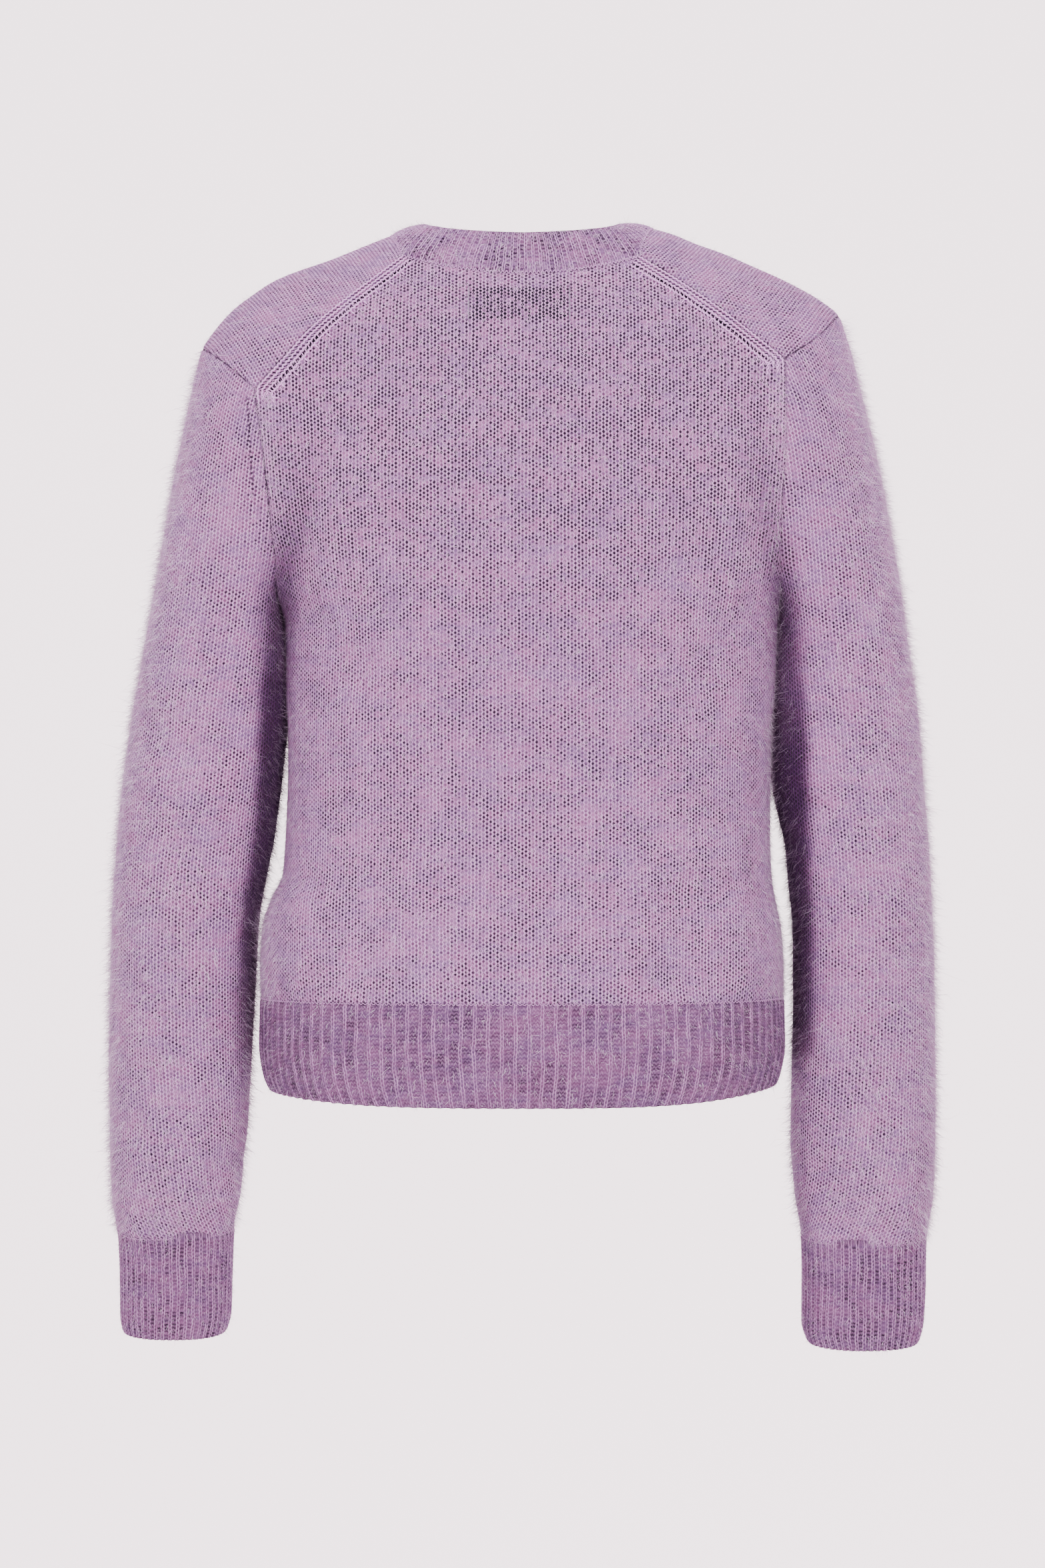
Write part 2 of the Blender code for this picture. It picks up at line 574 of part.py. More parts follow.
def button(name, middle, out, mat):
    """A round button with a raised rim and two holes, on the over band."""
    back = BAND_LIFT + KNIT + BUTTON_GAP
    bm = bmesh.new()
    rows = []
    for radius, high in BUTTON_PROFILE:
        if radius == 0:
            rows.append([bm.verts.new((0, 0, high * MM))])
            continue
        turns = np.arange(BUTTON_SIDES) * 2 * math.pi / BUTTON_SIDES
        ring = [(radius * math.cos(a), radius * math.sin(a), high) for a in turns]
        rows.append([bm.verts.new(np.array(place) * MM) for place in ring])
    for low, up in zip(rows, rows[1:]):
        for k in range(BUTTON_SIDES):
            m = (k + 1) % BUTTON_SIDES
            if len(low) == 1:
                bm.faces.new([low[0], up[m], up[k]])
            elif len(up) == 1:
                bm.faces.new([low[k], low[m], up[0]])
            else:
                bm.faces.new([low[k], low[m], up[m], up[k]])
    mesh = bpy.data.meshes.new(name)
    bmesh.ops.recalc_face_normals(bm, faces=bm.faces[:])
    bm.to_mesh(mesh)
    bm.free()
    mesh.materials.append(mat)
    obj = bpy.data.objects.new(name, mesh)
    bpy.context.scene.collection.objects.link(obj)
    side = np.array([1.0, 0.0, 0.0])
    up = unit(np.cross(out, side))
    side = np.cross(up, out)
    at = (middle + out * back) * MM
    matrix = [[side[r], up[r], out[r], at[r]] for r in range(3)] + [[0, 0, 0, 1]]
    cutter_mesh = bpy.data.meshes.new(name + "_holes")
    cm = bmesh.new()
    for x in (-BUTTON_HOLES, BUTTON_HOLES):
        made = bmesh.ops.create_cone(
            cm, cap_ends=True, segments=6, radius1=HOLE_RADIUS * MM, radius2=HOLE_RADIUS * MM, depth=12 * MM
        )
        bmesh.ops.translate(cm, verts=made["verts"], vec=(x * MM, 0, 0))
    cm.to_mesh(cutter_mesh)
    cm.free()
    cutter = bpy.data.objects.new(name + "_holes", cutter_mesh)
    bpy.context.scene.collection.objects.link(cutter)
    cutter.hide_render = True
    cutter.display_type = "WIRE"
    obj.matrix_world = Matrix(matrix)
    cutter.matrix_world = Matrix(matrix)
    cut = obj.modifiers.new("holes", "BOOLEAN")
    cut.operation, cut.solver, cut.object = "DIFFERENCE", "EXACT", cutter
    return obj


def main():
    clear_scene()
    knit = material("knit", (0.50, 0.36, 0.50))
    rib = material("rib", (0.40, 0.27, 0.41))
    tape = material("label_tape", (0.42, 0.30, 0.43))
    shell = material("button_shell", (0.55, 0.45, 0.55))

    back = back_panel()
    fronts = {1: front_panel(1), -1: front_panel(-1)}
    back_n = torso_normal(back)
    front_n = {s: torso_normal(fronts[s]) for s in fronts}

    # sleeves and cuffs: one grid each, parted at the cuff seam
    sleeves = {}
    for side in (1, -1):
        cuff = CUFFS[side]
        heights = [*SLEEVE_LEVELS, *cuff]
        grid = sleeve(side, CAP_ROWS, heights, SLEEVE_COLUMNS)
        normals = grid_normals(grid, True) * -side
        ring = CAP_ROWS + 2
        if ((grid[ring] - grid[ring].mean(0)) * normals[ring]).sum() < 0:
            normals = -normals
        # at the armhole the body and the sleeve share one direction, so that their walls don't cross
        loop_n = torso_normal(grid[0])
        shared = unit(loop_n + normals[0])
        stretch = 1 / np.clip((shared * loop_n).sum(1, keepdims=True), 0.6, 1)
        normals[0] = shared * stretch
        sleeves[side] = grid, normals
        turns = np.arange(SLEEVE_COLUMNS) * TURN_STEP
        turned = {round(t if t <= 180 else t - 360, 2): k for k, t in enumerate(turns)}
        rows = len(SIDE_LEVELS)
        for k, turn in enumerate(TURNS_BACK):
            back_n[rows + k, 0 if side > 0 else -1] = normals[0][turned[round(turn, 2)]]
        for k, turn in enumerate(TURNS_FRONT):
            turn = 180.0 if turn == -180 else turn
            front_n[side][rows + k, -1] = normals[0][turned[round(turn, 2)]]

    # neck rib: from the left front round the back to the right front
    middle = len(SPREAD) - 1
    seam_back = back[-1, middle - NECK_COLUMNS : middle + NECK_COLUMNS + 1]
    left, right = neck_side(1), neck_side(-1)
    seam = np.concatenate([torso(left[0], left[1])[::-1], seam_back[1:-1], torso(right[0], right[1])])
    inner = np.sin(SPREAD[: NECK_COLUMNS + 1]) / math.sin(SPREAD[NECK_COLUMNS]) - 1
    front = np.linspace(0, 1, NECK_POINTS)
    share = np.concatenate([front[::-1], inner[1:-1][::-1], inner[:1], inner[1:-1], front])
    one_side = np.ones(NECK_POINTS + NECK_COLUMNS - 1)
    top = np.stack([smooth(NECK_TOP, axis, share) for axis in "xyz"], -1)
    top[:, 0] *= np.concatenate([one_side, [0], -one_side])
    top[-1, 0] = BAND_RIGHT
    half = (seam + top) / 2
    neck = np.array([seam, half, top])
    centre_back = (1, NECK_POINTS - 1 + NECK_COLUMNS)
    neck[1] += facing(grid_normals(neck, False), centre_back, 1)[1] * NECK_BULGE
    neck_n = facing(grid_normals(neck, False), centre_back, 1)
    seam_n = torso_normal(seam)
    neck_n[0] = unit(neck_n[0] + seam_n)
    under_neck = slice(middle - NECK_COLUMNS, middle + NECK_COLUMNS + 1)
    back_n[-1, under_neck] = neck_n[0, NECK_POINTS - 1 : 1 - NECK_POINTS]
    front_n[1][-NECK_POINTS:, 0] = neck_n[0, :NECK_POINTS]
    front_n[-1][-NECK_POINTS:, 0] = neck_n[0, -NECK_POINTS:][::-1]

    wall("back", back, back_n, KNIT, False, knit, ("first", "last", "start", "end"))
    for side, name in ((1, "front_left"), (-1, "front_right")):
        wall(name, fronts[side], front_n[side], KNIT, False, knit, ("first", "last", "start", "end"))
    for side, end in ((1, "left"), (-1, "right")):
        grid, normals = sleeves[side]
        cut = CAP_ROWS + len(SLEEVE_LEVELS)
        tube, ways = grid[: cut + 1], normals[: cut + 1]
        wall("sleeve_" + end, tube, ways, KNIT, True, knit, ("first", "last"), gap=ARMHOLE_SEAM)
        ribbed("cuff_" + end, grid[cut:], normals[cut:], "cuff", True, rib, ("first",))

    # hem rib: the body's form carried on below its seam
    def hem(x_top, z_side):
        share = x_top / half_width(x_top, HEM_SEAM)
        end = HEM_END + np.abs(share) ** 4 * np.where(x_top > 0, HEM_RISE[1], HEM_RISE[-1])
        z = HEM_SEAM + np.array([0, 0.5, 1])[:, None] * (end - HEM_SEAM)
        x = share * half_width(x_top[None] + 0 * z, z)
        return torso(x, over_of(x, z, z_side))

    def no_ribs(points):
        return (np.abs(points[..., 0]) < NO_RIBS) & (points[..., 1] < 0)

    grid = hem(back[0, :, 0], 1)
    grid[:, [0, -1], 1] = 0
    ribbed("hem_back", grid, torso_normal(grid), "hem", False, rib, ("first", "start", "end"))
    for side, name in ((1, "hem_front_left"), (-1, "hem_front_right")):
        grid = hem(fronts[side][0, :, 0], -1)
        grid[:, 0, 0] = fronts[side][0, 0, 0]
        grid[:, -1, 1] = 0
        ribbed(name, grid, torso_normal(grid), "hem", False, rib, ("first", "start", "end"), no_ribs)
    ribbed("neck_band", neck, neck_n, "neck", False, rib, ("first", "start", "end"), no_ribs)

    # button bands: the front's points, the over band moved out
    hems = {s: hem(fronts[s][0, :, 0], -1)[1:][::-1] for s in fronts}
    lower = fronts[1].shape[0] + 1 - NECK_POINTS
    rows = [(hems[-1][r], hems[1][r]) for r in range(len(hems[1]))]
    rows += [(fronts[-1][r], fronts[1][r]) for r in range(lower)]
    rows += [(neck[r, ::-1][: NECK_POINTS + 1], neck[r, : NECK_POINTS + 1]) for r in (1, 2)]
    lines = [np.concatenate([a[::-1], b]) if a[0, 0] > a[-1, 0] else np.concatenate([a, b]) for a, b in rows]

    def strip(xs):
        read = [[[x, *(np.interp(x, line[:, 0], line[:, k]) for k in (1, 2))] for x in xs] for line in lines]
        grid = np.array(read)
        return grid, facing(grid_normals(grid, False), (3, 0), -1)

    grid, normals = strip([BAND_LEFT - BAND_PLAY, BAND_RIGHT + BAND_PLAY])
    wall("button_band_left", grid, normals, KNIT, False, rib)
    grid, normals = strip(OVER_BAND)
    wall("button_band_right", grid, normals, KNIT, False, rib, (), BAND_LIFT + KNIT)
    for k, height in enumerate(np.linspace(FIRST_BUTTON, LAST_BUTTON, BUTTONS)):
        centre = (grid[:, 0] + grid[:, 1]) / 2
        at = np.array([np.interp(height, grid[:, 1, 2], centre[:, axis]) for axis in range(3)])
        out = unit(np.array([np.interp(height, grid[:, 1, 2], normals[:, 1, axis]) for axis in range(3)]))
        button(f"button_{k + 1}", at, out, shell)

    # blank tape inside the back neck, from the back's own points
    rows = np.arange(back.shape[0])
    mid_z = back[:, middle, 2]
    low, high = (np.interp(h, mid_z, rows) for h in LABEL_Z)
    rows = [low, *[r for r in rows if low + 0.1 < r < high - 0.1], high]
    row = int(round(high))
    ends = [np.interp(-x, -back[row, :, 0], np.arange(back.shape[1])) for x in LABEL_X]
    columns = [ends[0], *[c for c in range(back.shape[1]) if ends[0] + 0.1 < c < ends[1] - 0.1], ends[1]]

    def between(grid):
        def at(r, c):
            i, j = int(r), int(c)
            i2, j2 = min(i + 1, grid.shape[0] - 1), min(j + 1, grid.shape[1] - 1)
            return mix(mix(grid[i, j], grid[i, j2], c - j), mix(grid[i2, j], grid[i2, j2], c - j), r - i)

        return np.array([[at(r, c) for c in columns] for r in rows])

    normals = unit(between(back_n))
    wall("neck_label", between(back), normals, LABEL_THICK, False, tape, (), -(KNIT + LABEL_GAP))


main()
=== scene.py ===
"""Looks of the cropped cardigan: knitted shells, ribs, seams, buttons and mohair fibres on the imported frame.

Metres, +Z up, the back faces +Y. The tables and the working out are in millimetres.
"""

import math

import bmesh
import bpy
import numpy as np
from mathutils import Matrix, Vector


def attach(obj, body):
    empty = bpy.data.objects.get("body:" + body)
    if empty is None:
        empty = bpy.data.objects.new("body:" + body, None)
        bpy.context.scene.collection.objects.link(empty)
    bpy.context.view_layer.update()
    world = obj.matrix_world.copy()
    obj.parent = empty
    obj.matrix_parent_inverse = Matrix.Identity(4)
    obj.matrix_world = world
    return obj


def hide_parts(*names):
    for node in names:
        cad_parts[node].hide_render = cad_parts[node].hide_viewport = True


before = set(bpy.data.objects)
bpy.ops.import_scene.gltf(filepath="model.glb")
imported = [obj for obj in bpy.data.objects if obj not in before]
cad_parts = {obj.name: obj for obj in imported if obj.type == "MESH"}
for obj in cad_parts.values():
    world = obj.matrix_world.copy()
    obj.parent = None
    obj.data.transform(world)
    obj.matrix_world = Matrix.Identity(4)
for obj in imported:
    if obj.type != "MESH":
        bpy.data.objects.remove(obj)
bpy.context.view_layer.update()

MM = 0.001

# ---------------------------------------------------------------- named sizes, mm
KNIT = 2.0  # wall of the plain knit
RIB_WALL = 1.9  # wall of a rib between its ridges
ROUND = 70.0  # height over which the shoulder rounds off below its ridge
SQUARE = 2.4  # exponent of the body's rings: 2 is an ellipse
SLEEVE_SQUARE = 2.3  # and of the sleeves'
HEM_SEAM, HEM_END = -462.0, -522.5
HEM_RISE = {1: 5.0, -1: 8.5}  # how much higher the hem's end lies at the left and the right side
CUFFS = {1: (-604.0, -637.0, -667.5), -1: (-608.0, -642.5, -674.0)}  # seam, middle and end, by side
SLEEVE_RING = -252.0  # where the sleeve has become a plain tube
ENDS = {1: "left", -1: "right"}  # the wearer's sides, by the sign of x
BAND = {1: 14.8, -1: -8.4}  # where the left and the right front stop at the bands
UNDERARM = 0.55  # how far the sleeve's underside turns out from the body at its seam
CAP_SPREAD = 0.2  # how far the sleeve cap keeps the shoulder's slope past its seam
BAND_LIFT = 0.4  # how far the over band lies clear of the under band
BUTTONS = 6
TAPE_X, TAPE_Z = 2.0, -52.5  # middle of the label tape
TAPE_HALF = 29.0, 9.5  # half its length and width
NECK_CORNER = {1: 71.3, -1: 69.9}  # x of the neck rib's seam on the shoulder seams
NECK_STEPS = 61  # points along the neck seam on each front, and columns of a front's grid
BACK_COLUMNS, SLEEVE_COLUMNS = 321, 240  # columns of their grids

# one stitch of the plain knit
WALE, ROW = 4.1, 2.5
SWAY = 0.09  # how far the stitch's legs sway, in wales
CREST, HOLE = 0.34, -0.46  # height of the legs and depth of the holes between them
SEAM_DIP, SEAM_WIDE = 0.5, 1.1
TUCK = 1.0  # how far a rib runs in behind the knit at its seam, in rows of its grid
FIBRE = 0.2  # width of a fibre
CAMERA_FAR = 3000.0  # from the camera to the garment's middle plane

# ---------------------------------------------------------------- body, a row per height
# z, half width on the wearer's left and right, depth behind and before the side seams
BODY = ("z", "left", "right", "back", "front"), [
    (30.0, 226.0, 230.0, 56.0, 52.0),
    (-30.0, 226.0, 230.0, 65.0, 62.0),
    (-63.0, 225.0, 229.0, 77.0, 77.0),
    (-97.0, 221.0, 226.0, 87.0, 93.0),
    (-130.0, 206.0, 212.0, 94.0, 108.0),
    (-160.0, 188.0, 195.0, 98.0, 118.0),
    (-185.0, 170.0, 179.0, 100.0, 123.0),
    (-205.0, 157.0, 165.0, 100.5, 124.0),
    (-218.0, 149.5, 157.0, 100.5, 124.0),
    (-241.0, 141.0, 151.5, 99.5, 122.0),
    (-290.0, 140.0, 149.5, 96.5, 114.0),
    (-350.0, 141.0, 148.0, 95.5, 106.0),
    (-388.0, 143.2, 149.0, 99.0, 107.0),
    (-404.0, 150.8, 151.2, 103.0, 110.0),
    (-422.0, 156.0, 154.5, 108.0, 114.0),
    (-445.0, 157.0, 156.0, 112.0, 117.5),
    (-462.0, 156.5, 156.0, 113.5, 118.0),
    (-490.0, 157.0, 156.5, 114.0, 117.0),
    (-508.0, 154.5, 153.5, 112.0, 115.0),
    (-523.0, 147.5, 146.0, 108.5, 111.5),
]

# x, z of the shoulder ridge on each side
RIDGE_LEFT = ("x", "z"), [
    (0.0, 8.0), (57.0, 2.0), (82.0, -7.5), (112.5, -20.0), (148.5, -33.0),
    (162.0, -41.5), (173.0, -50.0), (188.5, -68.5), (200.0, -88.0), (226.0, -130.0),
]  # fmt: skip
RIDGE_RIGHT = ("x", "z"), [
    (0.0, 8.0), (62.0, 2.0), (89.0, -5.0), (103.0, -11.0), (120.0, -17.0),
    (136.0, -23.5), (159.0, -33.0), (177.0, -43.0), (193.0, -57.0), (205.0, -78.0), (230.0, -125.0),
]  # fmt: skip

# ---------------------------------------------------------------- seams on the body
# The armhole, by turn from its top (0) through the back (+) and the front (-) to the underarm
ARMHOLE = ("turn", "x_left", "z_left", "x_right", "z_right"), [
    (-180.0, 149.0, -216.5, 156.0, -219.0),
    (-157.5, 147.5, -207.0, 152.5, -209.0),
    (-135.0, 147.0, -190.0, 151.0, -189.0),
    (-112.5, 148.0, -168.0, 151.5, -164.0),
    (-90.0, 151.0, -146.0, 153.5, -139.0),
    (-67.5, 157.0, -122.0, 158.0, -112.0),
    (-45.0, 166.5, -101.0, 165.0, -88.0),
    (-22.5, 180.0, -86.0, 178.0, -70.0),
    (0.0, 192.0, -74.0, 190.0, -54.0),
]
ARMHOLE_BACK = ("turn", "x_left", "z_left", "x_right", "z_right"), [
    (0.0, 192.0, -74.0, 190.0, -54.0),
    (22.5, 176.0, -86.0, 173.5, -71.0),
    (45.0, 157.4, -102.2, 154.4, -84.0),
]
ARMHOLE_DOWN = ("turn", "x_left", "z_left", "x_right", "z_right"), [
    (45.0, 157.4, -102.2, 154.4, -84.0),
    (67.5, 154.8, -123.4, 155.2, -110.0),
    (90.0, 152.4, -142.5, 154.8, -135.0),
    (112.5, 150.0, -162.0, 153.6, -160.0),
    (135.0, 147.6, -184.0, 151.8, -184.0),
    (157.5, 145.5, -205.0, 151.5, -206.0),
    (180.0, 149.0, -216.5, 156.0, -219.0),
]

# Shoulder seam on the back, from the neck out to the armhole corner
SHOULDER_LEFT = ("x", "z"), [(71.3, -21.5), (106.2, -49.7), (126.7, -68.0), (139.6, -83.0), (157.4, -102.2)]
SHOULDER_RIGHT = ("x", "z"), [(69.9, -22.3), (92.0, -37.0), (116.3, -54.3), (132.2, -66.5), (154.4, -84.0)]
SHOULDER = {1: SHOULDER_LEFT, -1: SHOULDER_RIGHT}
NECK_BACK_DIP = -33.4  # neck seam at the centre back

# Neck seam from the shoulder seam forward to the centre front, by share of the way: x, and
# degrees over the ridge, plus behind it and minus before it
NECK_SIDE = ("share", "x", "over"), [
    (0.0, 71.3, 43.5), (0.4, 78.5, 0.0), (0.6, 74.5, -44.0), (0.75, 62.0, -76.0),
    (0.9, 38.0, -103.0), (1.0, 14.8, -117.5),
]  # fmt: skip
# Top edge of the neck rib, by the same shares, with -1 at the centre back
NECK_TOP = ("share", "x", "y", "z"), [
    (-1.0, 0.0, 53.0, -9.0), (-0.6, 21.0, 51.0, -8.0), (-0.2, 45.0, 41.0, -5.0),
    (0.0, 54.0, 31.0, -2.5), (0.4, 59.0, 0.0, 0.2), (0.6, 56.0, -30.0, -13.0),
    (0.75, 46.0, -52.0, -33.0), (0.9, 29.0, -69.0, -57.0), (1.0, 14.8, -77.0, -70.0),
]  # fmt: skip

# ---------------------------------------------------------------- sleeves, a row per height
# z at the axis, inner and outer edge, y of the axis, half depth, and how much lower the
# back of the ring hangs than its axis, per mm of depth
SLEEVE_LEFT = ("z", "inner", "outer", "y", "half", "lean"), [
    (-252.0, 142.0, 226.5, -3.0, 55.0, 0.00),
    (-290.0, 140.8, 233.5, -4.0, 54.0, 0.01),
    (-325.0, 143.8, 238.0, -5.0, 53.0, 0.02),
    (-364.0, 149.0, 243.0, -7.0, 52.0, 0.03),
    (-392.0, 154.5, 245.5, -9.0, 51.5, 0.04),
    (-420.0, 159.0, 247.0, -12.0, 50.5, 0.06),
    (-460.0, 161.5, 248.5, -17.0, 49.0, 0.08),
    (-508.0, 164.5, 249.5, -24.0, 46.5, 0.10),
    (-550.0, 167.5, 249.5, -31.0, 43.5, 0.12),
    (-583.0, 171.5, 249.0, -37.0, 39.0, 0.13),
    (-601.0, 175.5, 246.5, -40.0, 34.0, 0.13),
    (-611.0, 176.5, 245.0, -42.0, 31.0, 0.13),
    (-633.0, 177.5, 244.5, -45.0, 30.5, 0.13),
    (-657.0, 178.5, 244.5, -49.0, 30.0, 0.13),
    (-668.0, 181.5, 243.0, -51.0, 29.0, 0.12),
]
SLEEVE_RIGHT = ("z", "inner", "outer", "y", "half", "lean"), [
    (-252.0, 151.9, 231.5, -3.0, 55.0, 0.00),
    (-290.0, 150.2, 236.5, -4.0, 54.0, 0.01),
    (-325.0, 149.4, 240.0, -5.0, 53.0, 0.02),
    (-352.0, 153.5, 242.0, -6.5, 52.5, 0.03),
    (-372.0, 158.0, 243.5, -7.5, 52.0, 0.035),
    (-392.0, 160.0, 244.8, -9.0, 51.5, 0.04),
    (-420.0, 162.8, 246.5, -12.0, 50.5, 0.06),
    (-460.0, 163.6, 248.0, -17.0, 49.0, 0.08),
    (-508.0, 163.0, 249.3, -24.0, 46.5, 0.10),
    (-550.0, 162.6, 249.8, -31.0, 43.5, 0.12),
    (-583.0, 165.6, 249.0, -37.0, 39.0, 0.13),
    (-601.0, 168.8, 246.5, -40.0, 34.5, 0.13),
    (-615.0, 170.5, 244.8, -42.0, 32.0, 0.13),
    (-637.0, 171.0, 244.8, -45.0, 31.0, 0.13),
    (-662.0, 171.0, 243.8, -49.0, 30.5, 0.13),
    (-674.0, 174.5, 241.0, -51.0, 29.5, 0.12),
]
SLEEVE = {1: SLEEVE_LEFT, -1: SLEEVE_RIGHT}


# ================================================================ working out
def column(table, name):
    names, rows = table
    return np.array([row[names.index(name)] for row in rows], float)


def smooth(table, name, at):
    """A column of a table at other values of its first one: a curve that never overshoots the rows."""
    x, y = column(table, table[0][0]), column(table, name)
    if x[0] > x[-1]:
        x, y = x[::-1], y[::-1]
    step, rise = np.diff(x), np.diff(y)
    slope = rise / step
    bend = np.zeros(len(x))
    same = slope[:-1] * slope[1:] > 0
    a, b = 2 * step[1:] + step[:-1], step[1:] + 2 * step[:-1]
    with np.errstate(divide="ignore", invalid="ignore"):
        bend[1:-1] = np.where(same, (a + b) / (a / slope[:-1] + b / slope[1:]), 0)
    bend[0], bend[-1] = slope[0], slope[-1]
    at = np.clip(np.asarray(at, float), x[0], x[-1])
    k = np.clip(np.searchsorted(x, at) - 1, 0, len(step) - 1)
    t = (at - x[k]) / step[k]
    return (
        y[k] * (1 + 2 * t) * (1 - t) ** 2 + y[k + 1] * t * t * (3 - 2 * t)
        + step[k] * (bend[k] * t * (1 - t) ** 2 - bend[k + 1] * t * t * (1 - t))
    )  # fmt: skip


def ridge(x):
    return np.where(x >= 0, smooth(RIDGE_LEFT, "z", np.abs(x)), smooth(RIDGE_RIGHT, "z", np.abs(x)))


def by_side(x, values):
    """The left side's value where x is on the left, else the right side's."""
    return np.where(x >= 0, values[1], values[-1])


def half_width(x, z):
    return np.where(x >= 0, smooth(BODY, "left", z), smooth(BODY, "right", z))


def drop_of(over):
    """Drop below the ridge, in units of ROUND, of a point so many radians over it."""
    over = np.abs(over)
    return np.where(over < math.pi / 2, 1 - np.cos(np.minimum(over, 1.6)), 1 + over - math.pi / 2)


def over_of(x, z, side):
    """The way back: side is 1 behind the ridge and -1 before it."""
    drop = np.maximum((ridge(x) - z) / ROUND, 0)
    return side * np.where(drop < 1, np.arccos(1 - np.minimum(drop, 1)), drop + math.pi / 2 - 1)


def torso(x, over):
    """Points of the body's outer surface."""
    x, over = np.broadcast_arrays(np.asarray(x, float), np.asarray(over, float))
    z = ridge(x) - ROUND * drop_of(over)
    share = np.clip(np.abs(x) / half_width(x, z), 0, 1)
    depth = np.where(over >= 0, smooth(BODY, "back", z), smooth(BODY, "front", z))
    round_it = np.sin(np.minimum(np.abs(over), math.pi / 2))
    y = np.sign(over) * depth * (1 - share**SQUARE) ** (1 / SQUARE) * round_it
    return np.stack([x, y, z], -1)


def torso_normal(points):
    """Outward directions at points of the body's outer surface, from how its equation changes."""

    def level(p, rounded):
        x, y, z = p[..., 0], p[..., 1], p[..., 2]
        share = np.clip(np.abs(x) / half_width(x, z), 0, 1)
        depth = np.where(y >= 0, smooth(BODY, "back", z), smooth(BODY, "front", z))
        drop = np.minimum((ridge(x) - z) / ROUND, 1)
        inside = np.maximum(1 - share**SQUARE, 1e-3) ** (2 / SQUARE)
        on_shoulder = (y / depth) ** 2 / inside + (1 - drop) ** 2
        return np.where(rounded, on_shoulder, share**SQUARE + np.abs(y / depth) ** SQUARE)

    points = np.asarray(points, float)
    rounded = (ridge(points[..., 0]) - points[..., 2]) < ROUND
    out = np.zeros_like(points)
    for axis in range(3):
        step = np.zeros(3)
        step[axis] = 0.4
        out[..., axis] = level(points + step, rounded) - level(points - step, rounded)
    return unit(out)


def unit(v):
    return v / np.maximum(np.linalg.norm(v, axis=-1, keepdims=True), 1e-12)


def grid_normals(grid, closed):
    """Directions square to a grid, whose rows are rings if it is closed. All may point inwards."""
    if closed:
        across = np.roll(grid, -1, 1) - np.roll(grid, 1, 1)
    else:
        across = np.gradient(grid, axis=1)
    return unit(np.cross(across, np.gradient(grid, axis=0)))


def outwards(rings, normals, row):
    """The directions of a tube's rings, turned round if this row's point inwards."""
    aside = rings[row] - rings[row].mean(0)
    return -normals if (aside * normals[row]).sum() < 0 else normals


def mix(a, b, share):
    return a + (b - a) * share


def armhole(side, turns):
    """Points of the armhole loop at these turns; side is 1 on the wearer's left."""
    name = ENDS[side]
    points = []
    for turn in turns:
        table = ARMHOLE if turn < 0 else ARMHOLE_BACK if turn <= 45 else ARMHOLE_DOWN
        x, z = smooth(table, "x_" + name, turn), smooth(table, "z_" + name, turn)
        if turn == 0:
            over = 0.0
        elif abs(turn) == 180:
            over = over_of(side * x, z, 1)
            x = smooth(BODY, name, z)
        else:
            over = over_of(side * x, z, 1 if turn > 0 else -1)
        points.append(torso(side * x, over))
    return np.array(points)


def sleeve(side, rows_cap, heights, columns):
    """Rings of the sleeve, in steps down its cap and then at heights, from its outer side over the back."""
    table = SLEEVE[side]
    turns = np.arange(columns) * 360 / columns
    angle = np.radians(turns)
    loop = armhole(side, [t if t <= 180 else t - 360 for t in turns])

    def ring(z):
        inner, outer, y, half, lean = (smooth(table, n, z) for n in ("inner", "outer", "y", "half", "lean"))
        middle, wide = (inner + outer) / 2, (outer - inner) / 2
        c, s = np.cos(angle), np.sin(angle)
        fat = (np.abs(c) ** SLEEVE_SQUARE + np.abs(s) ** SLEEVE_SQUARE) ** (-1 / SLEEVE_SQUARE)
        dy = half * s * fat
        return np.stack([side * (middle + wide * c * fat), y + dy, z - lean * dy], -1)

    end = ring(SLEEVE_RING)
    ahead = unit(ring(SLEEVE_RING - 6) - end)
    chord = end - loop
    length = np.linalg.norm(chord, axis=1, keepdims=True)
    out = torso_normal(loop)
    flat = unit(chord - out * (chord * out).sum(1, keepdims=True))
    # the sides of the cap run smoothly on from the body, its top starts steeper
    keep = (CAP_SPREAD + (0.95 - CAP_SPREAD) * np.abs(np.sin(angle)) ** 0.8)[:, None]
    start = unit(mix(unit(chord), flat, keep))
    # under the arm the cloth leaves the body at an angle
    start[:, 0] += side * UNDERARM * np.maximum(-np.cos(angle), 0) ** 1.5
    start = unit(start) * length * 0.9
    rows = []
    for k in range(rows_cap):
        t = (k / rows_cap) ** 1.15
        rows.append(
            (2 * t**3 - 3 * t * t + 1) * loop + (t**3 - 2 * t * t + t) * start
            + (3 * t * t - 2 * t**3) * end + (t**3 - t * t) * ahead * length
        )  # fmt: skip
    return np.array(rows + [ring(z) for z in heights])


def coons(bottom, top, left, right, across):
    """A grid between four edges, its first row along bottom; across is each column's share of the way."""
    v = np.linspace(0, 1, len(left))[:, None, None]
    u = across[None, :, None]
    corners = (1 - v) * ((1 - u) * bottom[0] + u * bottom[-1]) + v * ((1 - u) * top[0] + u * top[-1])
    return (1 - v) * bottom[None] + v * top[None] + (1 - u) * left[:, None] + u * right[:, None] - corners


def neck_side(side, count):
    """(x, over) along the neck seam from the shoulder seam to the centre front."""
    share = np.linspace(0, 1, count)
    x, over = smooth(NECK_SIDE, "x", share), np.radians(smooth(NECK_SIDE, "over", share))
    if side < 0:
        x = NECK_CORNER[-1] - (NECK_CORNER[1] - x) * (NECK_CORNER[-1] + BAND[-1]) / (NECK_CORNER[1] - BAND[1])
    table = SHOULDER[side]
    over[0] = over_of(side * x[0], column(table, "z")[0], 1)
    return side * x, over


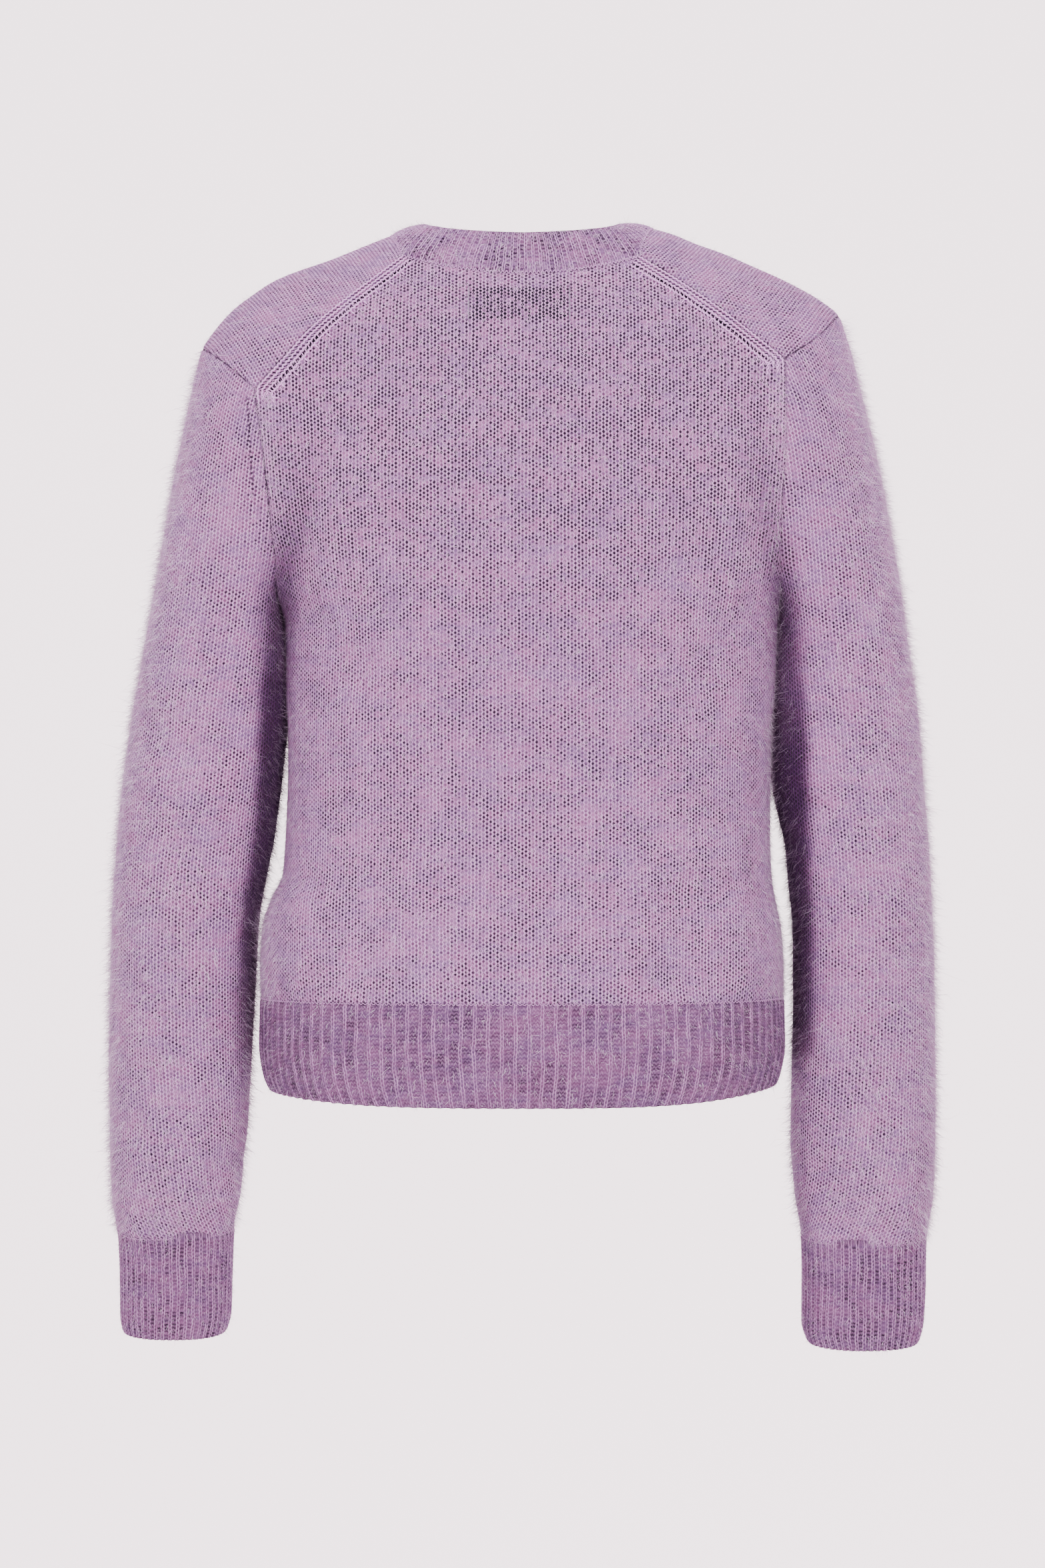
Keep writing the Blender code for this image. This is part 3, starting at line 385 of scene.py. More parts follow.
def front_panel(side):
    """Rows from the hem seam up and over the shoulder, columns from the button band outwards."""
    levels = np.linspace(HEM_SEAM, SLEEVE_RING, 60)
    turns = np.linspace(-180, 45, 121)
    loop = armhole(side, turns)
    x_out = np.concatenate([smooth(BODY, ENDS[side], levels), np.abs(loop[:, 0])])
    z_out = np.concatenate([levels, loop[:, 2]])
    neck_x, neck_over = neck_side(side, NECK_STEPS)
    lower = len(x_out) - NECK_STEPS + 1
    spread = np.sin(np.linspace(0, math.pi / 2, NECK_STEPS))
    neck_z = torso(neck_x[-1], neck_over[-1])[2]
    z_in = z_out[:lower].copy()
    rise = z_in > SLEEVE_RING
    steeper = z_out[lower - 1] - SLEEVE_RING
    z_in[rise] = SLEEVE_RING + (z_in[rise] - SLEEVE_RING) * (neck_z - SLEEVE_RING) / steeper
    x = BAND[side] + (side * x_out[:lower, None] - BAND[side]) * spread
    z = mix(z_in[:, None], z_out[:lower, None], spread)
    first = np.stack([x, over_of(x, z, -1)], -1)
    first[-1, 0] = neck_x[-1], neck_over[-1]
    # above the neck's corner the rows fan from the neck seam to the armhole
    table = SHOULDER[side]
    seam_x = column(table, "x")[0] + (column(table, "x")[-1] - column(table, "x")[0]) * spread
    top = np.stack([side * seam_x, over_of(side * seam_x, smooth(table, "z", seam_x), 1)], -1)
    rest, ways = turns[-len(neck_x):], loop[-len(neck_x):]
    over = np.where(np.abs(rest) < 0.01, 0, over_of(ways[:, 0], ways[:, 2], np.where(rest < 0, -1, 1)))
    right = np.stack([ways[:, 0], over], -1)
    left = np.stack([neck_x[::-1], neck_over[::-1]], -1)
    upper = coons(first[-1], top, left, right, spread)
    both = np.concatenate([first[:-1], upper])
    points = torso(both[..., 0], both[..., 1])
    points[: len(levels) + 1, -1, 1] = 0
    return points


# ================================================================ surfaces
# Each is a fine grid of points and the directions out there, some with their middle column's number.
def between(grid, at):
    """Rows of a grid at fractional row numbers."""
    low = np.clip(at.astype(int), 0, len(grid) - 2)
    share = (at - low).reshape(-1, *([1] * (grid.ndim - 1)))
    return grid[low] * (1 - share) + grid[low + 1] * share


def run_along(line):
    """Distance along a line of points from its first."""
    return np.concatenate([[0], np.cumsum(np.linalg.norm(np.diff(line, axis=0), axis=1))])


def back_outline(side):
    """x of the back's edge by height: side seam, armhole, then shoulder seam to the neck's corner."""
    loop = armhole(side, np.arange(180, 44.9, -3.0))
    table = SHOULDER[side]
    seam_x = np.linspace(column(table, "x")[-1], column(table, "x")[0], 60)[1:]
    low_z = np.linspace(HEM_SEAM, loop[0, 2], 60)[:-1]
    z = np.concatenate([low_z, loop[:, 2], smooth(table, "z", seam_x)])
    x = np.concatenate([smooth(BODY, ENDS[side], low_z), np.abs(loop[:, 0]), seam_x])
    return z, x


def neck_height(x):
    """Height of the neck seam across the back."""
    share = np.abs(x) / by_side(x, NECK_CORNER)
    corner = np.where(x >= 0, column(SHOULDER_LEFT, "z")[0], column(SHOULDER_RIGHT, "z")[0])
    past_corner = np.maximum(share - 1, 0)
    return NECK_BACK_DIP + (corner - NECK_BACK_DIP) * np.minimum(share, 1) ** 2 + past_corner * 400


def back_surface():
    """The back from the hem seam up to the shoulder seams, past the neck seam in the middle."""
    (zl, xl), (zr, xr) = back_outline(1), back_outline(-1)
    levels = np.linspace(HEM_SEAM, column(SHOULDER_LEFT, "z")[0], 300)
    share = np.sin(np.linspace(-math.pi / 2, math.pi / 2, BACK_COLUMNS))[None]
    left, right = np.interp(levels, zl, xl)[:, None], np.interp(levels, zr, xr)[:, None]
    x = np.where(share > 0, share * left, share * right)
    z = levels[:, None] + 0 * x
    points = torso(x, over_of(x, z, 1))
    points[:, [0, -1], 1] = np.where(levels[:, None] < -215, 0, points[:, [0, -1], 1])
    return points, torso_normal(points), BACK_COLUMNS // 2


def front_surface(side):
    points = front_panel(side)
    return points, torso_normal(points), NECK_STEPS // 2


def sleeve_surface(side):
    """Rows of the sleeve at level heights from the top of the armhole down to the cuff's seam."""
    columns, cap_rows = SLEEVE_COLUMNS, 60
    heights = np.concatenate([[SLEEVE_RING], np.linspace(SLEEVE_RING - 4, CUFFS[side][0], 90)])
    rings = sleeve(side, cap_rows, heights, columns)
    normals = outwards(rings, grid_normals(rings, True), cap_rows + 10)
    level = rings[..., 2].copy()
    level[cap_rows:] = heights[:, None]
    level = np.minimum.accumulate(level, 0)
    order = np.roll(np.arange(columns), columns // 2)
    order = np.concatenate([order, order[:1]])
    rings, normals, level = rings[:, order], normals[:, order], level[:, order]
    middle = columns // 2
    wanted = np.concatenate([np.linspace(level[0, middle] - 0.3, SLEEVE_RING, 110), heights[1:]])
    made, ways = [], []
    loop_z = level[0]
    for w in wanted:
        at = np.array([np.interp(-w, -level[:, c], np.arange(len(level))) for c in range(columns + 1)])
        low = np.clip(at.astype(int), 0, len(rings) - 2)
        share = (at - low)[:, None]
        pick = np.arange(columns + 1)
        row = rings[low, pick] * (1 - share) + rings[low + 1, pick] * share
        way = normals[low, pick] * (1 - share) + normals[low + 1, pick] * share
        for half in (slice(middle, None), slice(middle, None, -1)):
            above = loop_z[half] < w
            if above.any():
                edge = np.interp(-w, -loop_z[half], np.arange(len(loop_z[half])))
                k = int(edge)
                f = edge - k
                row_half, way_half = row[half], way[half]
                a, b = rings[0][half], normals[0][half]
                j = min(k + 1, len(a) - 1)
                gone = np.arange(len(a)) > edge
                row_half[gone] = a[k] * (1 - f) + a[j] * f
                way_half[gone] = b[k] * (1 - f) + b[j] * f
        made.append(row)
        ways.append(way)
    return np.array(made), unit(np.array(ways)), middle


def neck_surface():
    """The neck rib from its seam to its edge, from the left front round the back to the right front."""
    left, right = neck_side(1, NECK_STEPS), neck_side(-1, NECK_STEPS)
    back_x = np.linspace(NECK_CORNER[1], -NECK_CORNER[-1], 49)
    seam_back = torso(back_x, over_of(back_x, neck_height(back_x), 1))
    seam = np.concatenate([torso(*left)[::-1], seam_back[1:-1], torso(*right)])
    inner = np.abs(back_x) / by_side(back_x, NECK_CORNER) - 1
    share = np.concatenate([np.linspace(1, 0, NECK_STEPS), inner[1:-1], np.linspace(0, 1, NECK_STEPS)])
    side = np.concatenate([np.ones(NECK_STEPS), np.sign(back_x[1:-1]), -np.ones(NECK_STEPS)])
    top = np.stack([smooth(NECK_TOP, axis, share) for axis in "xyz"], -1)
    top[:, 0] *= side
    top[-1, 0] = BAND[-1]
    half = (seam + top) / 2
    normals = grid_normals(np.array([seam, half, top]), False)
    behind = len(seam) // 2
    half = half + normals[1] * 1.5 * np.sign(normals[1, behind, 1])
    t = np.linspace(0, 1, 17)[:, None, None]
    # a curve through the seam, the middle and the edge
    points = seam * (2 * t - 1) * (t - 1) + half * 4 * t * (1 - t) + top * t * (2 * t - 1)
    normals = grid_normals(points, False)
    return points, normals * np.sign(normals[8, behind, 1])


def hem_surface(side_y, x_from, x_to):
    """The hem rib behind (1) or before (-1) the side seams, between two places across at its seam."""
    x_top = np.sin(np.linspace(math.asin(x_from), math.asin(x_to), 241))
    x_top = x_top * half_width(x_top, HEM_SEAM)
    share = x_top / half_width(x_top, HEM_SEAM)
    end = HEM_END + np.abs(share) ** 4 * by_side(x_top, HEM_RISE)
    z = HEM_SEAM + np.linspace(0, 1, 25)[:, None] * (end - HEM_SEAM)
    x = share * half_width(x_top[None] + 0 * z, z)
    points = torso(x, over_of(x, z, side_y))
    return points, torso_normal(points)


def cuff_surface(side):
    """The cuff's rings, without those of the sleeve's cap."""
    heights = np.linspace(CUFFS[side][0], CUFFS[side][2], 25)
    rings = sleeve(side, 2, heights, SLEEVE_COLUMNS)[2:]
    rings = np.concatenate([rings, rings[:, :1]], 1)
    normals = grid_normals(rings[:, :-1], True)
    normals = np.concatenate([normals, normals[:, :1]], 1)
    return rings, outwards(rings, normals, 5)


# ---------------------------------------------------------------- creases
# A crease runs from one place to another on the back (1), the front (-1) or both (0);
# wide is its half width and high its height, minus for a hollow
CREASES = ("x0", "z0", "x1", "z1", "wide", "high", "face"), [
    (119.0, -122.0, 131.0, -196.0, 13.0, -2.8, 1),
    (101.0, -150.0, 120.0, -222.0, 12.0, 2.2, 1),
    (-142.0, -104.0, -139.0, -190.0, 12.0, -2.8, 1),
    (143.0, -188.0, 142.0, -282.0, 11.0, 1.9, 0),
    (-150.0, -182.0, -151.0, -282.0, 11.0, 1.9, 0),
    (-124.0, -140.0, -124.0, -222.0, 12.0, 2.0, 1),
    (122.0, -235.0, 96.0, -268.0, 15.0, -2.2, 1),
    (-124.0, -238.0, -102.0, -276.0, 14.0, -2.0, 1),
    (94.0, -410.0, 99.0, -455.0, 13.0, -2.9, 1),
    (62.0, -395.0, 56.0, -452.0, 15.0, 2.0, 1),
    (8.0, -385.0, -4.0, -450.0, 17.0, 2.4, 1),
    (-38.0, -410.0, -34.0, -456.0, 12.0, -1.7, 1),
    (-66.0, -392.0, -62.0, -450.0, 14.0, 1.9, 1),
    (-96.0, -402.0, -92.0, -452.0, 14.0, -3.4, 1),
    (128.0, -404.0, 132.0, -452.0, 10.0, 2.0, 1),
    (-128.0, -404.0, -130.0, -452.0, 10.0, 2.2, 1),
    (214.0, -304.0, 186.0, -322.0, 11.0, -1.6, 0),
    (216.0, -328.0, 190.0, -336.0, 12.0, 1.5, 0),
    (218.0, -360.0, 196.0, -372.0, 11.0, -1.5, 0),
    (-214.0, -314.0, -188.0, -330.0, 11.0, -1.6, 0),
    (-218.0, -342.0, -192.0, -350.0, 12.0, 1.5, 0),
    (-220.0, -380.0, -196.0, -392.0, 11.0, -1.6, 0),
    (178.0, -560.0, 200.0, -606.0, 9.0, -2.5, 0),
    (226.0, -556.0, 232.0, -604.0, 9.0, 2.0, 0),
    (-176.0, -566.0, -200.0, -608.0, 9.0, -2.7, 0),
    (-226.0, -548.0, -230.0, -604.0, 9.0, 2.4, 0),
    (150.0, -120.0, 128.0, -212.0, 14.0, -3.0, -1),
    (-154.0, -112.0, -130.0, -212.0, 14.0, -3.0, -1),
    (150.0, -196.0, 158.0, -330.0, 13.0, 2.4, -1),
    (-152.0, -186.0, -162.0, -330.0, 13.0, 2.6, -1),
    (40.0, -395.0, 44.0, -452.0, 14.0, 1.3, -1),
    (88.0, -400.0, 84.0, -452.0, 13.0, -1.6, -1),
    (-58.0, -395.0, -52.0, -452.0, 14.0, 1.2, -1),
    (-100.0, -404.0, -96.0, -452.0, 13.0, -1.6, -1),
]  # fmt: skip


# Painted shade of the fold at the back of each armhole, by height
FOLD_SHADE_LEFT = ("z", "x", "half", "dark"), [
    (-118.0, 129.0, 12.0, 0.0), (-144.0, 132.0, 12.5, 0.13), (-166.0, 134.5, 12.0, 0.24),
    (-180.0, 137.5, 11.0, 0.36), (-196.0, 141.0, 10.8, 0.56), (-216.0, 144.5, 11.4, 0.76),
    (-236.0, 146.4, 11.8, 0.90), (-262.0, 147.6, 11.4, 0.90), (-290.0, 148.4, 11.0, 0.84),
    (-303.0, 149.0, 9.0, 0.30), (-316.0, 150.0, 8.0, 0.0),
]  # fmt: skip
FOLD_SHADE_RIGHT = ("z", "x", "half", "dark"), [
    (-110.0, 147.0, 9.0, 0.0), (-136.0, 146.5, 9.5, 0.14), (-166.0, 146.5, 9.6, 0.26),
    (-190.0, 150.5, 9.8, 0.42), (-210.0, 154.5, 10.2, 0.62), (-228.0, 157.2, 10.6, 0.82),
    (-248.0, 158.6, 10.6, 0.90), (-280.0, 159.6, 10.6, 0.85), (-300.0, 160.0, 9.0, 0.35),
    (-316.0, 160.0, 8.0, 0.0),
]  # fmt: skip
# Painted shade on each sleeve's side that is turned to the body, by height: it runs inwards between two places
SLEEVE_SHADE_LEFT = ("z", "from", "to", "dark"), [
    (-236.0, 157.6, 140.0, 0.0), (-250.0, 158.4, 139.5, 0.50), (-262.0, 158.8, 139.5, 0.85),
    (-276.0, 159.4, 140.0, 1.0), (-312.0, 160.6, 139.0, 1.0), (-339.0, 162.0, 138.0, 1.0),
    (-364.0, 163.6, 140.0, 1.0), (-385.0, 166.4, 146.0, 1.0), (-419.0, 170.8, 159.0, 0.96),
    (-440.0, 172.0, 159.0, 0.90), (-460.0, 173.2, 158.0, 0.80), (-480.0, 173.0, 157.0, 0.62),
    (-494.0, 172.0, 157.0, 0.42), (-508.0, 171.0, 156.0, 0.30), (-526.0, 170.5, 155.0, 0.28),
    (-560.0, 171.5, 155.0, 0.28), (-582.0, 172.0, 155.0, 0.0),
]  # fmt: skip
SLEEVE_SHADE_RIGHT = ("z", "from", "to", "dark"), [
    (-246.0, 166.4, 150.0, 0.0), (-262.0, 169.3, 150.0, 0.78), (-304.0, 172.3, 150.0, 0.94),
    (-324.0, 173.2, 150.0, 1.0), (-344.0, 174.2, 151.0, 1.0), (-384.0, 174.4, 156.0, 1.0),
    (-424.0, 176.2, 158.0, 0.96), (-464.0, 176.4, 159.0, 0.9), (-488.0, 175.6, 159.0, 0.78),
    (-504.0, 172.4, 159.0, 0.44), (-524.0, 171.0, 158.0, 0.3), (-562.0, 172.0, 157.0, 0.34),
    (-604.0, 173.6, 157.0, 0.4), (-640.0, 173.8, 157.0, 0.4),
]  # fmt: skip


def painted_shade(points, piece):
    """How much painted shade these points get, from 0 to 1: in the dark between sleeve and body, in the armhole
    folds, and a little on the body's sides, the hem's corners and the sleeves' outer sides.

    The tables hold places as the photo shows them, where what lies nearer looks wider.
    """
    x, y, z = points[..., 0], points[..., 1], points[..., 2]
    fold_shade, turned = np.zeros(x.shape), np.zeros(x.shape)
    for side, fold_shades, table in ((1, FOLD_SHADE_LEFT, SLEEVE_SHADE_LEFT), (-1, FOLD_SHADE_RIGHT, SLEEVE_SHADE_RIGHT)):
        seen = side * x / (1 - y / CAMERA_FAR)
        off = np.abs(seen - smooth(fold_shades, "x", z)) / smooth(fold_shades, "half", z)
        fold_shade += smooth(fold_shades, "dark", z) * np.exp(-(off**2.6))
        ragged = 0.7 * np.sin(z / 17 + y / 9) * np.sin(z / 7.3)
        outer = 1 / (1 + np.exp((seen - smooth(table, "from", z) + 1 + ragged) / 1.5))
        inner = 1 / (1 + np.exp((smooth(table, "to", z) - seen) / 0.8))
        turned += smooth(table, "dark", z) * outer * inner
    behind = np.clip((y + 55) / 30, 0, 1)
    if "sleeve" in piece:
        # painted shade: the sleeves' outer sides are painted a little darker
        outer_side_shade = 0.06 * np.clip((np.abs(x) - 196) / 40, 0, 1)
        return np.maximum(np.maximum(fold_shade, turned), outer_side_shade) * behind
    if "cuff" in piece:
        return turned * behind
    # painted shade: the body's own sides, and the corners of its hem, are painted a little darker
    inside = np.maximum(half_width(x, np.maximum(z, HEM_SEAM)) - np.abs(x), 0)
    side_shade = 0.22 * np.exp(-((inside / 5) ** 2)) + 0.14 * np.exp(-((inside / 24) ** 2))
    side_shade = side_shade * np.clip((-z - 150) / 60, 0, 1)
    corner = 0.20 * np.clip((np.abs(x) - 95) / 60, 0, 1) * np.clip((HEM_SEAM + 12 - z) / 24, 0, 1)
    return np.maximum(fold_shade, side_shade + corner) * behind


def creased(points):
    """How far the creases lift the cloth at these points."""
    x, y, z = points[..., 0], points[..., 1], points[..., 2]
    lift = np.zeros(x.shape)
    for x0, z0, x1, z1, wide, high, face in CREASES[1]:
        dx, dz = x1 - x0, z1 - z0
        t = np.clip(((x - x0) * dx + (z - z0) * dz) / (dx * dx + dz * dz), 0, 1)
        off = np.hypot(x - x0 - t * dx, z - z0 - t * dz)
        held = 1.0 if face == 0 else np.clip(face * y / 25, 0, 1)
        lift += high * held * np.exp(-((off / wide) ** 2))
    # creases die out at the seams below them
    above_hem = np.clip((z - HEM_SEAM) / 14, 0, 1)
    settle = above_hem * (np.abs(x) < 160) + (np.abs(x) >= 160)
    # long soft swells that keep the cloth from lying like a shell
    swell = 0.35 * np.sin(x / 23 + z / 61) * np.sin(z / 29 - x / 83 + y / 40)
    swell = swell + 0.2 * np.sin(z / 13 + x / 31 + y / 17)
    return lift * settle + swell * above_hem


# ================================================================ making meshes
def as_mesh(bm, name):
    """Writes a bmesh to a new mesh and frees it."""
    mesh = bpy.data.meshes.new(name)
    bm.to_mesh(mesh)
    bm.free()
    return mesh


def take_in(bm, mesh):
    """Adds a mesh to a bmesh and removes it."""
    bm.from_mesh(mesh)
    bpy.data.meshes.remove(mesh)


def put_points(mesh, points):
    mesh.vertices.foreach_set("co", (points.reshape(-1, 3) * MM).astype(np.float32).ravel())


def linked(name, data):
    obj = bpy.data.objects.new(name, data)
    bpy.context.scene.collection.objects.link(obj)
    return obj


def laid_grid(points, uvs, held):
    """A bmesh grid laid on points; what lies past the panel's edge is held there and taken out."""
    rows, columns = points.shape[:2]
    flat = bmesh.new()
    bmesh.ops.create_grid(flat, x_segments=columns - 1, y_segments=rows - 1, size=0.5)
    mesh = as_mesh(flat, "laid")
    put_points(mesh, points)
    corner = np.zeros(len(mesh.loops), np.int32)
    mesh.loops.foreach_get("vertex_index", corner)
    # "knit" counts stitches across and up, "edge" holds the distance to the nearest seam
    for name, values in (("knit", uvs[..., :2]), ("edge", uvs[..., [2, 2]])):
        layer = mesh.uv_layers.new(name=name)
        layer.data.foreach_set("uv", values.reshape(-1, 2)[corner].astype(np.float32).ravel())
    bm = bmesh.new()
    take_in(bm, mesh)
    if held is not None and held.any():
        gone = held[:-1, :-1] & held[1:, :-1] & held[:-1, 1:] & held[1:, 1:]
        bm.faces.ensure_lookup_table()
        faces = [bm.faces[k] for k in np.flatnonzero(gone.ravel())]
        bmesh.ops.delete(bm, geom=faces, context="FACES")
    bmesh.ops.remove_doubles(bm, verts=bm.verts[:], dist=4e-6)
    bmesh.ops.dissolve_degenerate(bm, edges=bm.edges[:], dist=1e-6)
    bmesh.ops.triangulate(bm, faces=bm.faces[:], quad_method="SHORT_EDGE")
    return bm


def open_loops(bm):
    """The open edges of a mesh, as loops of vertices in order."""
    ahead = {}
    for edge in bm.edges:
        if edge.is_boundary:
            loop = edge.link_loops[0]
            ahead[loop.vert] = loop.link_loop_next.vert
    loops = []
    while ahead:
        start, line = next(iter(ahead)), []
        at = start
        while at in ahead:
            line.append(at)
            at = ahead.pop(at)
        loops.append(line)
    return [line for line in loops if len(line) > 8]


def share_along(line):
    points = np.array([v.co for v in line + line[:1]])
    run = run_along(points)
    return run / run[-1]


def close_rim(bm, outer, inner):
    """Joins two open loops of different counts, matched by their share of the way round."""
    places = np.array([v.co for v in inner])
    first = int(np.argmin(np.linalg.norm(places - np.array(outer[0].co), axis=1)))
    inner = inner[first:] + inner[:first]
    quarter = np.array(outer[len(outer) // 4].co)
    places = np.array([v.co for v in inner])
    if np.argmin(np.linalg.norm(places - quarter, axis=1)) > len(inner) / 2:
        inner = inner[:1] + inner[:0:-1]
    a, b = share_along(outer), share_along(inner)
    outer, inner = outer + outer[:1], inner + inner[:1]
    layers = [bm.loops.layers.uv[name] for name in ("knit", "edge")]
    uv_of = {vert: [vert.link_loops[0][layer].uv.copy() for layer in layers] for vert in outer}
    i = j = 0
    while i < len(outer) - 1 or j < len(inner) - 1:
        if j == len(inner) - 1 or (i < len(outer) - 1 and a[i + 1] + a[i] <= b[j + 1] + b[j]):
            face = bm.faces.new([outer[i], outer[i + 1], inner[j]])
            i += 1
        else:
            face = bm.faces.new([outer[i], inner[j + 1], inner[j]])
            j += 1
        near = uv_of[outer[i]]
        for loop in face.loops:
            for layer, uv in zip(layers, uv_of.get(loop.vert, near)):
                loop[layer].uv = uv


def finished(name, bm, mat, slot, *nodes, smooth_angle=None):
    """Makes the object, which rides on the body and stands for the named solids."""
    mesh = as_mesh(bm, name)
    mesh.materials.append(mat)
    mesh.shade_smooth()
    places = np.zeros(len(mesh.vertices) * 3, np.float32)
    mesh.vertices.foreach_get("co", places)
    # painted shade: how much each point is darkened, stored for the materials to read
    dark = mesh.attributes.new("painted_shade", "FLOAT", "POINT")
    depth = painted_shade(places.reshape(-1, 3) / MM, name)
    dark.data.foreach_set("value", depth.astype(np.float32))
    if smooth_angle:
        mesh.set_sharp_from_angle(angle=math.radians(smooth_angle))
    obj = linked(name, mesh)
    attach(obj, "root")
    if nodes:
        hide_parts(*nodes)
    return obj


def shell(name, outer, inner, mat, slot, *nodes):
    """One closed wall: the worked outer sheet, a plain inner one and the rims between them."""
    bm = laid_grid(*outer)
    inside = laid_grid(*inner)
    bmesh.ops.reverse_faces(inside, faces=inside.faces[:])
    front = set(bm.verts)
    take_in(bm, as_mesh(inside, "inside"))
    loops = open_loops(bm)
    outside = [line for line in loops if line[0] in front]
    within = [line for line in loops if line[0] not in front]
    for line in outside:
        middle = np.mean([v.co for v in line], 0)
        mate = min(within, key=lambda other: np.linalg.norm(np.mean([v.co for v in other], 0) - middle))
        close_rim(bm, line, mate)
    bmesh.ops.recalc_face_normals(bm, faces=bm.faces[:])
    return finished(name, bm, mat, slot, *nodes)


# ---------------------------------------------------------------- plain knit
def lay(surface, t, s):
    """Points, directions, whether held at an edge, and distances to the row's ends, for rows at
    distances t up the surface's middle column and places s to its side on each row."""
    points, normals, middle = surface
    up = run_along(points[:, middle])
    rows = np.interp(t, up, np.arange(len(up)))
    lines, ways = between(points, rows), between(normals, rows)
    out, out_n, held, edge = [], [], [], []
    for line, way, want in zip(lines, ways, s):
        run = run_along(line)
        run -= run[middle]
        at = np.clip(want, run[0], run[-1])
        out.append(np.stack([np.interp(at, run, line[:, k]) for k in range(3)], -1))
        out_n.append(np.stack([np.interp(at, run, way[:, k]) for k in range(3)], -1))
        held.append((want <= run[0]) | (want >= run[-1]))
        edge.append(np.minimum(want - run[0], run[-1] - want))
    return np.array(out), unit(np.array(out_n)), np.array(held), np.maximum(np.array(edge), 0)


def stitch_columns(first, last, fine_from, fine_to, plain_step=8.2):
    """Places across of the lattice's columns on even and odd rows, with their heights, in mm."""
    columns = []
    wale = math.floor(first / WALE) - 1
    while wale * WALE < last + WALE:
        if fine_from <= wale * WALE <= fine_to:
            for even, odd, high_even, high_odd in (
                (0.25 - SWAY, 0.0, CREST, HOLE),
                (0.5, 0.25 + SWAY, HOLE, CREST),
                (0.75 + SWAY, 0.75 - SWAY, CREST, CREST),
            ):
                columns.append(((wale + even) * WALE, (wale + odd) * WALE, high_even, high_odd))
            wale += 1
        else:
            columns.append((wale * WALE, wale * WALE, 0, 0))
            wale += round(plain_step / WALE)
    return np.array(columns).T


def stitch_rows(length, fine_from, fine_to, plain_step=9.0):
    """Distances up of the lattice's rows, and 0 or 1 for even and odd rows, -1 for plain ones."""
    rows, at = [], 0.0
    while at < length:
        if fine_from <= at < fine_to:
            half = round(at / (ROW / 2))
            rows.append((half * ROW / 2, half % 2))
            at = (half + 1) * ROW / 2
        else:
            rows.append((at, -1))
            step = plain_step if at >= fine_to else min(plain_step, max(fine_from - at, ROW / 2))
            at += step
    rows = [row for row in rows if row[0] < length - 0.4]
    rows.append((length, -1))
    return np.array([r[0] for r in rows]), np.array([r[1] for r in rows])


def plain_knit(name, surface, span, fine_s, fine_t, mat, nodes, trim=None):
    """A panel of plain knit on a surface, out to its span across, with its stitches raised where fine."""
    points, _, middle = surface
    length = run_along(points[:, middle])[-1]
    even, odd, high_even, high_odd = stitch_columns(*span, *fine_s)
    t, kind = stitch_rows(length, *fine_t)
    s = np.where(kind[:, None] == 1, odd, np.where(kind[:, None] == 0, even, (even + odd) / 2))
    high = np.where(kind[:, None] == 1, high_odd, np.where(kind[:, None] == 0, high_even, 0.0))
    place, way, held, edge = lay(surface, t, s)
    if trim is not None:
        place, held, edge = trim(place, held, edge)
    edge = np.minimum(edge, np.minimum(t, length - t)[:, None])
    sunk = np.exp(-((edge / SEAM_WIDE) ** 2))
    lift = creased(place) + high * (1 - sunk) - SEAM_DIP * sunk
    uvs = np.stack([s / WALE, np.broadcast_to(t[:, None] / ROW, s.shape), edge], -1)
    outer = place + way * lift[..., None], uvs, held
    # the inside, a plain sheet
    t2 = np.linspace(0, length, max(int(length / 9), 4))
    wide = np.arange(span[0] - 8, span[1] + 16, 8.0)
    s2 = np.broadcast_to(wide, (len(t2), len(wide)))
    place, way, held, edge = lay(surface, t2, s2)
    if trim is not None:
        place, held, edge = trim(place, held, edge)
    uvs = np.stack([s2 / WALE, np.broadcast_to(t2[:, None] / ROW, s2.shape), 9 + 0 * s2], -1)
    inner = place + way * (creased(place) - KNIT)[..., None], uvs, held
    return shell(name, outer, inner, mat, "knit", *nodes)


def neck_trim(place, held, edge):
    """Ends the back's rows at the neck seam."""
    x, z = place[..., 0], place[..., 2]
    top = neck_height(x)
    past = (z > top) & (np.abs(x) < by_side(x, NECK_CORNER) + 1)
    cut = torso(x, over_of(x, np.minimum(z, top), 1))
    place = np.where(past[..., None], cut, place)
    near = np.where(np.abs(x) < 70, top - z, 99)
    return place, held | past, np.where(past, 0, np.minimum(edge, np.maximum(near, 0)))


# ---------------------------------------------------------------- ribs
# pitch, then for each of a rib's points its place from the middle and its height on even and odd rows
RIBS = {
    "hem": (7.9, [
        (-2.7, -0.35, -0.15), (-1.55, 0.1, 0.2), (-0.8, 1.0, 0.85), (0.0, 0.35, 0.6),
        (0.8, 1.0, 0.85), (1.55, 0.1, 0.2), (2.7, -0.35, -0.15), (3.95, 0.0, -0.3),
    ]),
    "cuff": (4.7, [
        (-1.6, 0.1, 0.2), (-0.8, 0.95, 0.75), (0.0, 0.25, 0.55),
        (0.8, 0.95, 0.75), (1.6, 0.1, 0.2), (2.35, -0.45, -0.3),
    ]),
    "neck": (4.6, [
        (-1.55, 0.1, 0.2), (-0.8, 0.9, 0.7), (0.0, 0.25, 0.5),
        (0.8, 0.9, 0.7), (1.55, 0.1, 0.2), (2.3, -0.4, -0.3),
    ]),
}  # fmt: skip


